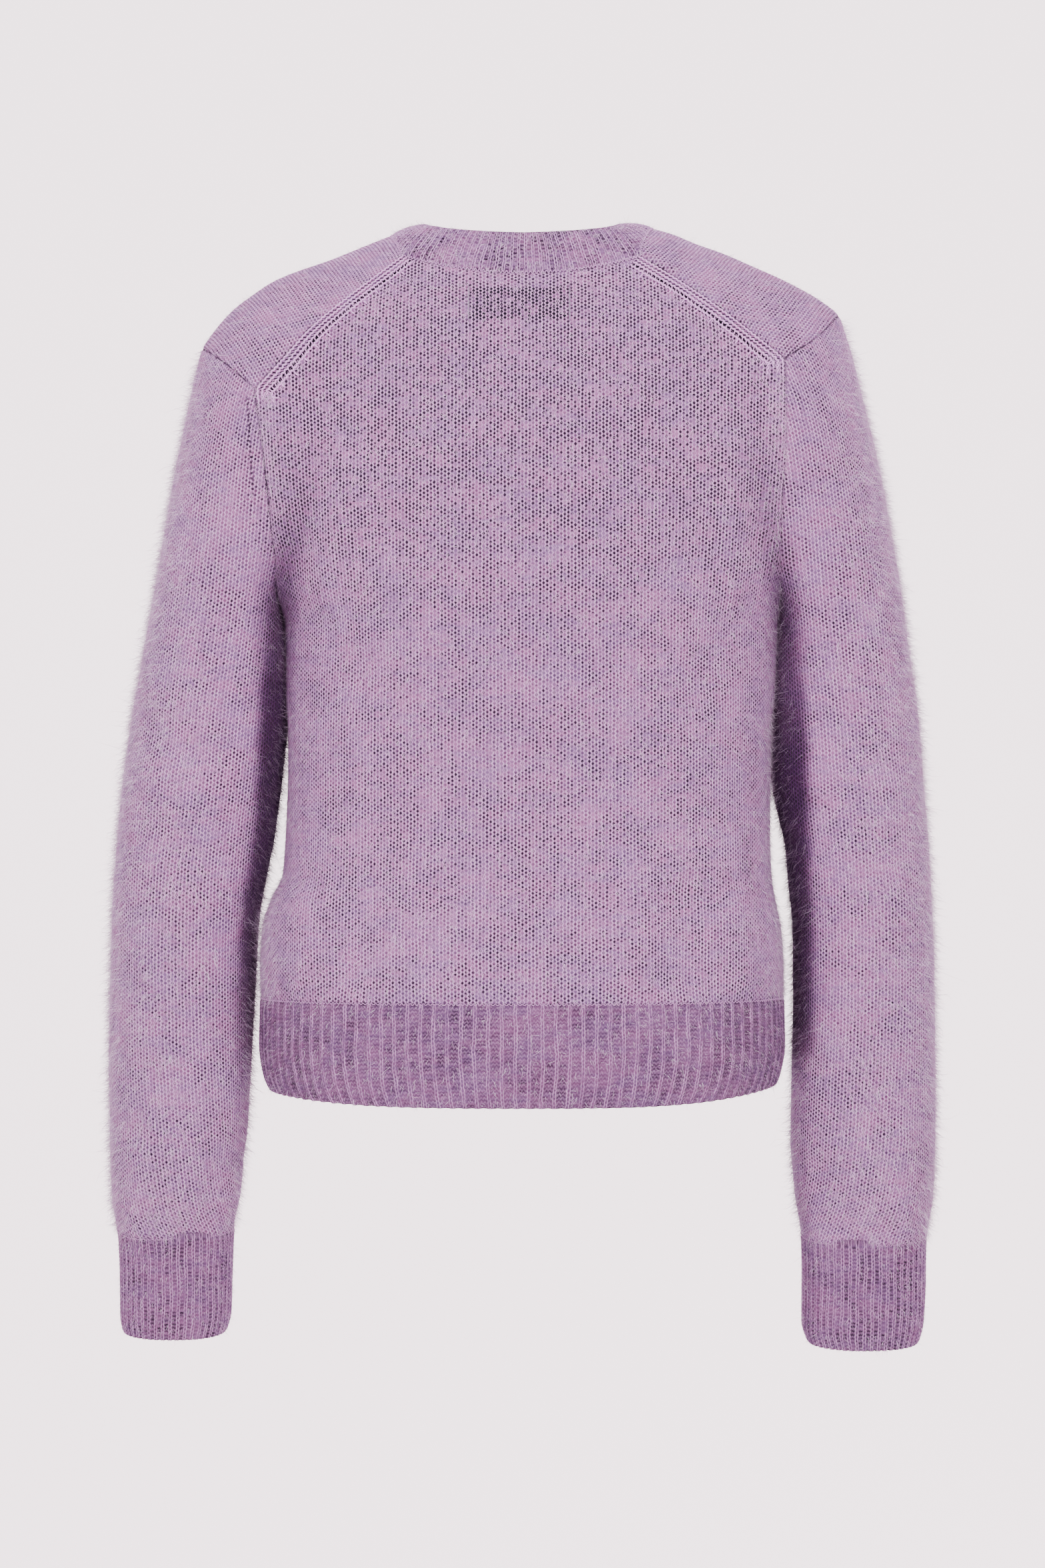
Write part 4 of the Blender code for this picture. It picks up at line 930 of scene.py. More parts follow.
def rib_knit(name, points, normals, rib, mat, nodes, closed=False, lift=0.0):
    """A ribbed piece on a grid that runs from its seam to its free edge, lifted off it by so much."""
    pitch, profile = RIBS[rib]
    run = run_along(points[0])
    places = run / run[-1]
    count = max(round(run[-1] / pitch), 1)
    spots, even, odd = [], [], []
    for k in range(count):
        for part, high_even, high_odd in profile:
            spots.append((k + 0.5 + part / pitch) / count)
            even.append(high_even)
            odd.append(high_odd)
    spots, even, odd = np.array(spots), np.array(even), np.array(odd)
    if closed:
        spots, even, odd = np.append(spots, spots[0] + 1), np.append(even, even[0]), np.append(odd, odd[0])
    else:
        keep = (spots > 0.0006) & (spots < 0.9994)
        spots = np.concatenate([[0], spots[keep], [1]])
        even, odd = (np.concatenate([[-0.3], v[keep], [-0.3]]) for v in (even, odd))
    length = run_along(points[:, len(points[0]) // 2])[-1]
    rows = max(round(length / (ROW / 2)), 4)
    at = np.linspace(0, len(points) - 1, rows + 1)

    def across(grid, where):
        where = np.broadcast_to(where, (len(grid), where.shape[-1]))
        read = [[np.interp(at, places, row[:, k]) for k in range(3)] for row, at in zip(grid, where)]
        return np.stack(read).transpose(0, 2, 1)

    lines, ways = between(points, np.append(-TUCK, at[1:])), between(normals, at)
    # the ribs waver on their way down
    down = at[:, None] / at[-1] * length
    off = spots * run[-1]
    waver = np.sin(down / 7.1 + off / 19) * np.sin(off / 8.3 + down / 31) * 0.42 / run[-1]
    ends = np.clip(np.minimum(spots, 1 - spots) * run[-1] / 6, 0, 1) if not closed else 1.0
    spots_in = spots + waver * ends * np.clip(down / 8, 0, 1)
    wrapped = np.mod(spots_in, 1) if closed else np.clip(spots_in, 0, 1)
    place, way = across(lines, wrapped), unit(across(ways, wrapped))
    if closed:
        place[:, -1], way[:, -1] = place[:, 0], way[:, 0]
    odd_row = (np.arange(rows + 1) % 2 == 1)[:, None]
    high = np.where(odd_row, odd, even)
    # the seam is drawn in, and the free edge rolls under
    from_seam = at / at[-1] * length
    to_end = length - from_seam
    high = high * np.clip(from_seam / 2.0, 0, 1)[:, None] - 0.45 * np.exp(-((from_seam / 1.2) ** 2))[:, None]
    high[0] -= 0.5  # its first row tucks in behind the knit
    high = high - 0.8 * np.exp(-((to_end / 0.9) ** 2))[:, None]
    rows_up = np.broadcast_to(from_seam[:, None], high.shape)
    uvs = np.stack([np.broadcast_to(spots * count, high.shape), rows_up / ROW, rows_up], -1)
    outer = place + way * (high + lift)[..., None], uvs, None
    spots2 = np.linspace(0, 1, max(int(run[-1] / 5), 3))
    rows2 = np.linspace(0, len(points) - 1, max(int(length / 8), 3))
    rows2[0] = -TUCK
    place, way = across(between(points, rows2), spots2), unit(across(between(normals, rows2), spots2))
    rows_up = np.broadcast_to((rows2 / rows2[-1] * length)[:, None], place.shape[:2])
    uvs = np.stack([np.broadcast_to(spots2 * count, place.shape[:2]), rows_up / ROW, 9 + 0 * rows_up], -1)
    inner = place + way * (lift - RIB_WALL), uvs, None
    return shell(name, outer, inner, mat, "rib", *nodes)


# ---------------------------------------------------------------- yarn laid on the knit
def ground(name, lines, ways, first, last, mat, lift):
    """The dark ground between a strip's raised stitches, from one of its lines to another."""
    run = run_along(lines[:, 0])
    rows = int(run[-1] / ROW)
    at = np.interp(np.arange(rows + 1) * ROW, run, np.arange(len(run)))
    columns = np.linspace(first, last, 9)
    place, out = (
        between(between(grid, at).transpose(1, 0, 2), columns).transpose(1, 0, 2) for grid in (lines, ways)
    )
    from_side = np.minimum(np.arange(9), np.arange(9)[::-1])
    high = lift - 0.9 * np.exp(-((from_side / 0.6) ** 2))
    count = np.broadcast_to(columns, place.shape[:2])
    rows_up = np.broadcast_to(np.arange(rows + 1)[:, None], place.shape[:2])
    uvs = np.stack([count, rows_up, 9 + 0 * count], -1)
    bm = laid_grid(place + unit(out) * (high + creased(place))[..., None], uvs, None)
    bm.normal_update()
    if sum(f.normal.dot(Vector(out[rows // 2, 4])) for f in bm.faces) < 0:
        bmesh.ops.reverse_faces(bm, faces=bm.faces[:])
    return finished(name, bm, mat, "knit")


def strip_legs(lines, ways, places, lift):
    """A strip's stitches, as wavy yarns along it at some of its lines, that sink into the knit at its end."""
    made = []
    for k, place in enumerate(places):
        line, way = (between(v.transpose(1, 0, 2), np.array([place]))[0] for v in (lines, ways))
        sink = np.clip((np.arange(len(line)) - len(line) + 20 + 3 * (k % 3)) / 12, 0, 1) ** 2
        made.append(chain(line - way * sink[:, None] * 2.2, way, ROW * 1.1, 0.42, lift, math.pi * (k % 2)))
    return made


def rungs(lines, ways, places, lift):
    """The crossing loops of a ladder between two of a strip's lines, a row apart."""
    run = run_along(lines[:, 0])
    made = []
    for at in np.arange(2.0, run[-1] - 18, ROW * 1.16):
        spots = np.interp(at + np.array([0.0, 0.5, 1.0, 1.5]), run, np.arange(len(run)))
        across = np.linspace(*places, 4)
        line, way = (
            np.array([between(between(grid, spots[k : k + 1])[0], across[k : k + 1])[0] for k in range(4)])
            for grid in (lines, ways)
        )
        made.append(line + way * (lift + creased(line))[:, None])
    return made


def tubes(name, lines, radius, mat, slot, sides=5):
    """Short lengths of yarn, each along its own line of points."""
    bm = bmesh.new()
    for line in lines:
        line = np.asarray(line, float)
        ahead = unit(np.gradient(line, axis=0))
        aside = unit(np.cross(ahead, [0.31, 0.77, 0.55]))
        over = np.cross(aside, ahead)
        angle = np.linspace(0, 2 * math.pi, sides + 1)
        end = np.minimum(np.arange(len(line)), np.arange(len(line))[::-1])
        thick = radius * np.clip(0.25 + end * 0.4, 0.25, 1)[:, None, None]
        round_it = aside[:, None] * np.cos(angle)[:, None] + over[:, None] * np.sin(angle)[:, None]
        points = line[:, None] + round_it * thick
        along = np.broadcast_to(np.arange(len(line))[:, None] / 4, points.shape[:2])
        uvs = np.stack([np.broadcast_to(angle, along.shape), along, 9 + 0 * along], -1)
        piece = laid_grid(points, uvs, None)
        bmesh.ops.holes_fill(piece, edges=[e for e in piece.edges if e.is_boundary], sides=sides)
        bmesh.ops.recalc_face_normals(piece, faces=piece.faces[:])
        take_in(bm, as_mesh(piece, "yarn"))
    return finished(name, bm, mat, slot)


def chain(line, ways, pitch, swing, lift, phase=0.0):
    """The loops of a linked seam: a yarn that swings to both sides of it."""
    run = run_along(line)
    at = np.linspace(0, run[-1], int(run[-1] / pitch * 6))
    base, up = (np.stack([np.interp(at, run, v[:, k]) for k in range(3)], -1) for v in (line, ways))
    up = unit(up)
    aside = unit(np.cross(unit(np.gradient(base, axis=0)), up))
    turn = (phase + at / pitch * 2 * math.pi + 0.9 * np.sin(at / 17) + 0.5 * np.sin(at / 6.1))[:, None]
    uneven = (1 + 0.35 * np.sin(at / 9.7) * np.sin(at / 4.3))[:, None]
    high = lift + creased(base)[:, None] + 0.2 * np.cos(turn)
    return base + aside * swing * uneven * np.sin(turn) + up * high


def shoulder_lines(side, reach):
    """Lines on the back beside the shoulder seam, out to reach from it, that turn down along the armhole."""
    table = SHOULDER[side]
    x = np.linspace(column(table, "x")[0], column(table, "x")[-1], 80)
    z, x_max = back_outline(side)
    z_down = smooth(table, "z", x)[-1] - np.linspace(1.0, 20.0, 12)
    x = np.concatenate([x, np.interp(z_down, z, x_max)])
    z = np.concatenate([smooth(table, "z", x[:80]), z_down])
    run = np.concatenate([[0], np.cumsum(np.hypot(np.diff(x), np.diff(z)))])
    even = np.linspace(0, run[-1], 140)
    x, z = np.interp(even, run, x), np.interp(even, run, z)
    seam = torso(side * x, over_of(side * x, z, 1))
    way = torso_normal(seam)
    down = unit(np.cross(unit(np.gradient(seam, axis=0)), way))
    down = down if down[40, 2] < 0 else -down
    # the lines round the corner where shoulder and armhole meet
    window = np.hanning(33) / np.hanning(33).sum()
    padded = [np.pad(down[:, k], 16, "edge") for k in range(3)]
    down = unit(np.stack([np.convolve(line, window, "valid") for line in padded], -1))
    across = seam[:, None] + down[:, None] * np.linspace(0.5, reach, 9)[:, None]
    window = np.hanning(17) / np.hanning(17).sum()
    for c in range(9):
        for k in (0, 2):
            padded = np.pad(across[:, c, k], 8, "reflect", reflect_type="odd")
            across[:, c, k] = np.convolve(padded, window, "valid")
    flat = torso(across[..., 0], over_of(across[..., 0], across[..., 2], 1))
    return flat, torso_normal(flat)


def narrowings(lines, ways, step, tail):
    """Short slanted stitches beyond a strip's inner border, where the knitting was narrowed."""
    border, out = lines[:, -1], ways[:, -1]
    inward = unit(lines[:, -1] - lines[:, -2])
    run = run_along(border)
    made = []
    for k, at in enumerate(np.arange(step, run[-1] - step, step)):
        base, up, aside = (
            np.array([np.interp(at, run, line[:, c]) for c in range(3)]) for line in (border, out, inward)
        )
        ahead = unit(np.cross(up, aside))
        ahead = ahead if ahead[2] < 0 else -ahead
        reach = tail * (1 + 0.25 * math.sin(k * 2.3))
        t = np.linspace(0, 1, 7)[:, None]
        bend = ahead * (t * 1.9 - 0.7 + 0.5 * np.sin(t * 5))
        lift = creased(base) + 0.35 + 0.55 * np.sin(t * math.pi)
        made.append(base - aside * 0.8 + aside * t * reach + bend + up * lift)
    return made


# ---------------------------------------------------------------- fibres
def scattered(points, ways, count, draw, weight):
    """Places spread evenly over a surface, or by a weight, with the directions out there."""
    a = points[1:, :-1] - points[:-1, :-1]
    b = points[:-1, 1:] - points[:-1, :-1]
    size = np.linalg.norm(np.cross(a, b), axis=-1) * weight(points[:-1, :-1])
    cell = draw.choice(size.size, count, p=size.ravel() / size.sum())
    r, c = np.divmod(cell, points.shape[1] - 1)
    across, up = draw.random((2, count, 1))
    place = points[r, c] + a[r, c] * across + b[r, c] * up
    return place + ways[r, c] * (creased(place)[:, None] + 0.1), ways[r, c]


def evenly(points):
    return np.ones(points.shape[:-1])


def fibres(name, surface, short, long, seed, length, stand, mat, weight=evenly):
    """Loose mohair fibres: short straight ones of one face each, and long bent ones of three.

    They hang downwards and stand off the cloth by stand. All come from one grid two points wide,
    of whose bands every second or third is taken out.
    """
    draw = np.random.default_rng(seed)
    count = short + long
    root, out = scattered(*surface, count, draw, weight)
    hang = np.array([0, 0, -1.0]) + out * out[:, 2:]
    loose = draw.normal(0, 1, (count, 3))
    reach = length * np.exp(draw.normal(0, 0.35, (count, 1)))
    reach[short:] *= 1.5
    rise = draw.uniform(0.12, 0.95, (count, 1)) * stand
    first = unit(out * rise + unit(hang + 1e-6) * draw.uniform(0, 1, (count, 1)) + loose * 0.45)
    first = unit(first + out * np.maximum(0.12 - (first * out).sum(1, keepdims=True), 0))
    second = unit(first + draw.normal(0, 0.6, (count, 3)) + np.array([0, 0, -0.35]))
    second = unit(second + out * np.maximum(0.02 - (second * out).sum(1, keepdims=True), 0))
    wide = unit(np.cross(first, loose)) * FIBRE / 2
    tip = root + first * reach
    one = np.stack([root - wide, root + wide, tip, tip], 1)[:short].reshape(-1, 3)
    middle = root + first * reach * 0.5
    tip = middle + second * reach * 0.5
    three = [root - wide, root + wide, middle - wide * 0.8, middle + wide * 0.8, tip, tip]
    three = np.stack(three, 1)[short:].reshape(-1, 3)
    flat = bmesh.new()
    bands = 2 * short + 3 * long - 1
    bmesh.ops.create_grid(flat, x_segments=1, y_segments=bands, size=0.5)
    flat.faces.ensure_lookup_table()
    gone = [*range(1, 2 * short, 2), *range(2 * short + 2, bands, 3)]
    bmesh.ops.delete(flat, geom=[flat.faces[k] for k in gone], context="FACES")
    mesh = as_mesh(flat, "fibres")
    put_points(mesh, np.concatenate([one, three]))
    bm = bmesh.new()
    take_in(bm, mesh)
    bm.verts.ensure_lookup_table()
    tips = [*range(2, 4 * short, 4), *range(4 * short + 4, 4 * short + 6 * long, 6)]
    bmesh.ops.weld_verts(bm, targetmap={bm.verts[k + 1]: bm.verts[k] for k in tips})
    return finished(name, bm, mat, "knit")


# ---------------------------------------------------------------- buttons and tape
def button_place(solid):
    """Where a button's solid is: the middle of its underside, and its directions out, across and up."""
    points = np.array([v.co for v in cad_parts[solid].data.vertices])
    middle = points.mean(0)
    out = np.linalg.svd(points - middle)[2][2]
    out = out if out[1] < 0 else -out
    across = unit(np.cross([0, 0, 1.0], out))
    low = ((points - middle) @ out).min()
    return middle + out * low, out, across, np.cross(out, across)


def placed(bm, spot):
    """Moves a mesh made at the origin in mm, facing up, to a button's place."""
    middle, out, across, up = spot
    for v in bm.verts:
        v.co = middle + (across * v.co.x + up * v.co.y + out * v.co.z) * MM


def turned_button(name, solid, mat):
    """A round button with a rolled rim, a dished face and two holes, where its solid is."""
    # radius and height, from the middle of its underside over the rim to the middle of its face
    outline = [
        (0.0, 0.0), (6.4, 0.0), (7.5, 0.6), (8.0, 1.4), (7.95, 2.2), (7.4, 2.95), (6.7, 3.2), (6.0, 2.95),
        (5.4, 2.45), (4.2, 2.15), (2.6, 2.02), (0.0, 2.0),
    ]  # fmt: skip
    bm = bmesh.new()
    start = [bm.verts.new((r, 0, z)) for r, z in outline]
    edges = [bm.edges.new(pair) for pair in zip(start, start[1:])]
    whole = {"cent": (0, 0, 0), "axis": (0, 0, 1), "angle": 2 * math.pi, "steps": 48, "use_merge": True}
    bmesh.ops.spin(bm, geom=start + edges, **whole)
    bmesh.ops.remove_doubles(bm, verts=bm.verts[:], dist=1e-3)
    bmesh.ops.recalc_face_normals(bm, faces=bm.faces[:])
    spot = button_place(solid)
    placed(bm, spot)
    disc = finished(name, bm, mat, "button", solid, smooth_angle=40)
    drill = bmesh.new()
    for x in (-2.1, 2.1):
        made = bmesh.ops.create_cone(drill, cap_ends=True, segments=20, radius1=0.95, radius2=0.95, depth=12)
        bmesh.ops.translate(drill, verts=made["verts"], vec=(x, 0, 0))
    placed(drill, spot)
    drill = linked("drill", as_mesh(drill, "drill"))
    cut = disc.modifiers.new("holes", "BOOLEAN")
    cut.operation, cut.solver, cut.object = "DIFFERENCE", "EXACT", drill
    pierced = bpy.data.meshes.new_from_object(disc.evaluated_get(bpy.context.evaluated_depsgraph_get()))
    disc.modifiers.clear()
    disc.data = pierced
    bpy.data.objects.remove(drill, do_unlink=True)
    return disc, spot


def button_threads(spot):
    """The sewing between a button's two holes, and the bound edge of its buttonhole."""
    middle, out, across, up = (v / MM if k == 0 else v for k, v in enumerate(spot))
    t = np.linspace(0, 1, 13)[:, None]
    lines = []
    for shift in (-0.5, 0.0, 0.5):
        arc = across * (4.2 * t - 2.1) + up * shift * (1 - abs(2 * t - 1) * 0.4)
        lines.append(middle + arc + out * (0.7 + 1.9 * np.sin(t * math.pi) ** 0.35))
    for way in (-1, 1):
        slit = across * (21 * t - 10.5) + up * way * 0.75 * np.sin(t * math.pi) ** 0.3
        lines.append(middle + slit - out * 0.25)
    return lines


# ================================================================ materials
def add(tree, kind, inputs=None, **settings):
    """A shader node; each of its inputs is linked to a socket or set to a constant."""
    made = tree.nodes.new(kind)
    for key, value in settings.items():
        setattr(made, key, value)
    for key, value in (inputs or {}).items():
        if isinstance(value, bpy.types.NodeSocket):
            tree.links.new(value, made.inputs[key])
        else:
            made.inputs[key].default_value = value
    return made


def calc(tree, operation, *values):
    return add(tree, "ShaderNodeMath", dict(enumerate(values)), operation=operation).outputs[0]


def times(tree, first, *others):
    """The product of all the values."""
    for other in others:
        first = calc(tree, "MULTIPLY", first, other)
    return first


def apart(tree, a, b):
    """How far apart two values are."""
    return calc(tree, "ABSOLUTE", calc(tree, "SUBTRACT", a, b))


def wave(tree, turns):
    """1 at every whole number and -1 midway between them."""
    return calc(tree, "COSINE", times(tree, turns, 2 * math.pi))


def ramp(tree, value, low, high, to_low=0.0, to_high=1.0):
    inputs = {"Value": value, "From Min": low, "From Max": high, "To Min": to_low, "To Max": to_high}
    return add(tree, "ShaderNodeMapRange", inputs, interpolation_type="SMOOTHSTEP").outputs["Result"]


def fall(tree, value, low, high):
    """1 below low, down to 0 above high."""
    return ramp(tree, value, low, high, 1.0, 0.0)


def blend_colour(tree, share, a, b, mode="MIX"):
    made = add(tree, "ShaderNodeMix", data_type="RGBA", blend_type=mode, clamp_factor=True)
    for key, value in ((0, share), (6, a), (7, b)):
        if isinstance(value, bpy.types.NodeSocket):
            tree.links.new(value, made.inputs[key])
        else:
            made.inputs[key].default_value = value if key == 0 else (*value, 1)
    return made.outputs[2]


def noise(tree, place, scale, detail=2.0, rough=0.5, distort=0.0):
    inputs = {"Vector": place, "Scale": scale, "Detail": detail, "Roughness": rough, "Distortion": distort}
    return add(tree, "ShaderNodeTexNoise", inputs).outputs["Fac"]


def stretched(tree, place, *scale):
    """Places for a pattern, scaled by so much along each axis."""
    return add(tree, "ShaderNodeMapping", {"Vector": place, "Scale": scale}).outputs[0]


def object_place(tree):
    return add(tree, "ShaderNodeTexCoord").outputs["Object"]


def parts(tree, vector):
    """The three numbers of a place or a UV."""
    return add(tree, "ShaderNodeSeparateXYZ", {0: vector}).outputs


def joined(tree, x, y):
    return add(tree, "ShaderNodeCombineXYZ", {0: x, 1: y}).outputs[0]


def uv_parts(tree, uv_name):
    return parts(tree, add(tree, "ShaderNodeUVMap", uv_map=uv_name).outputs["UV"])


def painted_shade_amount(tree):
    """The painted shade that finished() wrote on the mesh, from 0 to 1."""
    return add(tree, "ShaderNodeAttribute", attribute_name="painted_shade", attribute_type="GEOMETRY").outputs["Fac"]


def new_material(name):
    mat = bpy.data.materials.new(name)
    mat.use_nodes = True
    return mat, mat.node_tree, mat.node_tree.nodes["Principled BSDF"]


def coloured(tree, shader, colour):
    tree.links.new(colour, shader.inputs["Base Color"])


def bumped(tree, shader, height, strength, distance):
    bump = add(tree, "ShaderNodeBump", {"Height": height, "Strength": strength, "Distance": distance})
    tree.links.new(bump.outputs[0], shader.inputs["Normal"])


# the marled yarn's two body tones, its light fibres and the holes between its stitches, whose dark tone is
# painted shade seen through the knit
LILAC = {
    "pink": (0.540, 0.180, 0.435), "blue": (0.330, 0.155, 0.388), "light": (0.970, 0.500, 0.955),
    "hole": (0.028, 0.013, 0.031),
}  # fmt: skip
NECK_LILAC = {
    "pink": (0.430, 0.140, 0.355), "blue": (0.270, 0.122, 0.322), "light": (0.930, 0.480, 0.920),
    "hole": (0.018, 0.006, 0.020),
}  # fmt: skip
RIB_LILAC = {
    "pink": (0.285, 0.092, 0.240), "blue": (0.190, 0.082, 0.228), "light": (0.74, 0.36, 0.71),
    "hole": (0.036, 0.018, 0.038),
}  # fmt: skip


def per_stitch(tree, u, v):
    """A number from 0 to 1 that differs from stitch to stitch."""
    cell = joined(tree, calc(tree, "FLOOR", u), calc(tree, "FLOOR", v))
    return add(tree, "ShaderNodeTexWhiteNoise", {"Vector": cell}, noise_dimensions="2D").outputs["Value"]


def wander(tree, place, scale):
    """A slow drift between about -0.5 and 0.5."""
    return calc(tree, "SUBTRACT", noise(tree, place, scale, 1.0), 0.5)


def plain_legs(tree, from_middle, v):
    """The two legs of each plain stitch, and how far off them a point lies in mm."""
    line = calc(tree, "MULTIPLY_ADD", wave(tree, v), SWAY, 0.25)
    off = times(tree, apart(tree, from_middle, line), WALE)
    return fall(tree, off, 0.14, 0.62), off


def rib_legs(tree, far, v):
    """The legs on a rib, how far off them a point lies in mm, and the purl bars beside the rib."""
    line = calc(tree, "MULTIPLY_ADD", wave(tree, v), 0.17, 0.76)
    off = apart(tree, far, line)
    bend = times(tree, calc(tree, "SINE", times(tree, far, 2.7)), 0.22)
    bars = ramp(tree, wave(tree, calc(tree, "ADD", v, bend)), -0.9, 0.9)
    return fall(tree, off, 0.12, 0.52), off, times(tree, bars, 0.36, ramp(tree, far, 1.35, 1.9))


def marled(tree, place, tones):
    """The yarn's own colour, in streaks a row high and soft clouds."""
    streak = stretched(tree, place, 75.0, 75.0, 330.0)
    cloud = noise(tree, stretched(tree, place, 38.0, 38.0, 62.0), 1.0, 3.0, 0.6)
    hue = calc(tree, "MULTIPLY_ADD", noise(tree, streak, 1.0, 3.0, 0.65), 0.5, times(tree, cloud, 0.5))
    body = blend_colour(tree, ramp(tree, hue, 0.38, 0.62), tones["blue"], tones["pink"])
    tone = ramp(tree, noise(tree, streak, 1.6, 4.0, 0.7), 0.25, 0.75)
    return blend_colour(tree, times(tree, tone, 0.26), body, tones["light"])


def over_label(tree, place, worked, depth, off, hole_tone, tones):
    """Colour, holes' colour and holes' depth of the stitches over the label, whose tape shows through."""
    x, y, z = parts(tree, place)
    behind = ramp(tree, y, 0.0, 0.01)
    across, level = apart(tree, x, TAPE_X * MM), apart(tree, z, TAPE_Z * MM)
    within = times(tree, fall(tree, across, 0.0266, 0.0300), fall(tree, level, 0.0086, 0.0110), behind)
    worked = blend_colour(tree, times(tree, within, 0.04), worked, (0.14, 0.07, 0.18))
    hollow = blend_colour(tree, within, tones["hole"], (0.007, 0.004, 0.012))
    # over the tape, and towards the shoulders, the holes are clearer and darker
    loose = ramp(tree, z, -0.26, -0.10, 0.15, 0.95)
    clearer = times(tree, ramp(tree, off, 0.48, 0.85), ramp(tree, hole_tone, 0.15, 0.85), loose)
    taped = times(tree, ramp(tree, off, 0.34, 0.64), ramp(tree, hole_tone, -0.1, 0.55), within)
    depth = calc(tree, "ADD", depth, calc(tree, "MAXIMUM", clearer, taped))
    # the tape's ends are tacked down, which draws a wale in
    patchy = ramp(tree, noise(tree, place, 260.0, 2.0), 0.35, 0.5, 0.3, 1.0)
    tack = times(tree, fall(tree, apart(tree, across, 0.0296), 0.0002, 0.0007), patchy)
    tack = times(tree, tack, fall(tree, level, 0.0105, 0.0125), behind)
    return blend_colour(tree, times(tree, tack, 0.8), worked, (0.10, 0.04, 0.13)), hollow, depth


def seam_shade(tree, place):
    """The dark and broken line where a piece is sewn or linked to its neighbours."""
    x, _, z = parts(tree, place)
    ragged = calc(tree, "MULTIPLY_ADD", noise(tree, place, 330.0, 2.0), -1.5, uv_parts(tree, "edge")[0])
    broken = ramp(tree, noise(tree, place, 95.0, 2.0), 0.36, 0.60, 0.45, 0.95)
    # the armhole seams lie flatter and show less, low down and on the right
    beside = ramp(tree, calc(tree, "ABSOLUTE", x), 0.146, 0.152)
    low, right = ramp(tree, z, -0.190, -0.160, 0.70, 0.0), ramp(tree, x, -0.14, -0.12, 0.6, 0.0)
    hidden = times(tree, calc(tree, "MAXIMUM", low, right), fall(tree, z, -0.105, -0.085))
    shows = calc(tree, "SUBTRACT", 1.0, times(tree, beside, hidden))
    return times(tree, fall(tree, ragged, -0.45, 0.25), times(tree, broken, shows))


def ladder_shade(tree, place):
    """A ladder of open stitches beside the left armhole's seam."""
    x, y, z = parts(tree, place)
    line = calc(tree, "MULTIPLY_ADD", z, 0.0585, 0.1679)
    ladder = ramp(tree, apart(tree, x, line), 0.0004, 0.0011, 0.9, 0.0)
    steps = calc(tree, "COSINE", times(tree, z, 2 * math.pi / 0.0031))
    ends = ramp(tree, z, -0.168, -0.162), fall(tree, z, -0.110, -0.104)
    return times(tree, ladder, ramp(tree, steps, -0.3, 0.5), *ends, ramp(tree, y, 0.0, 0.01))


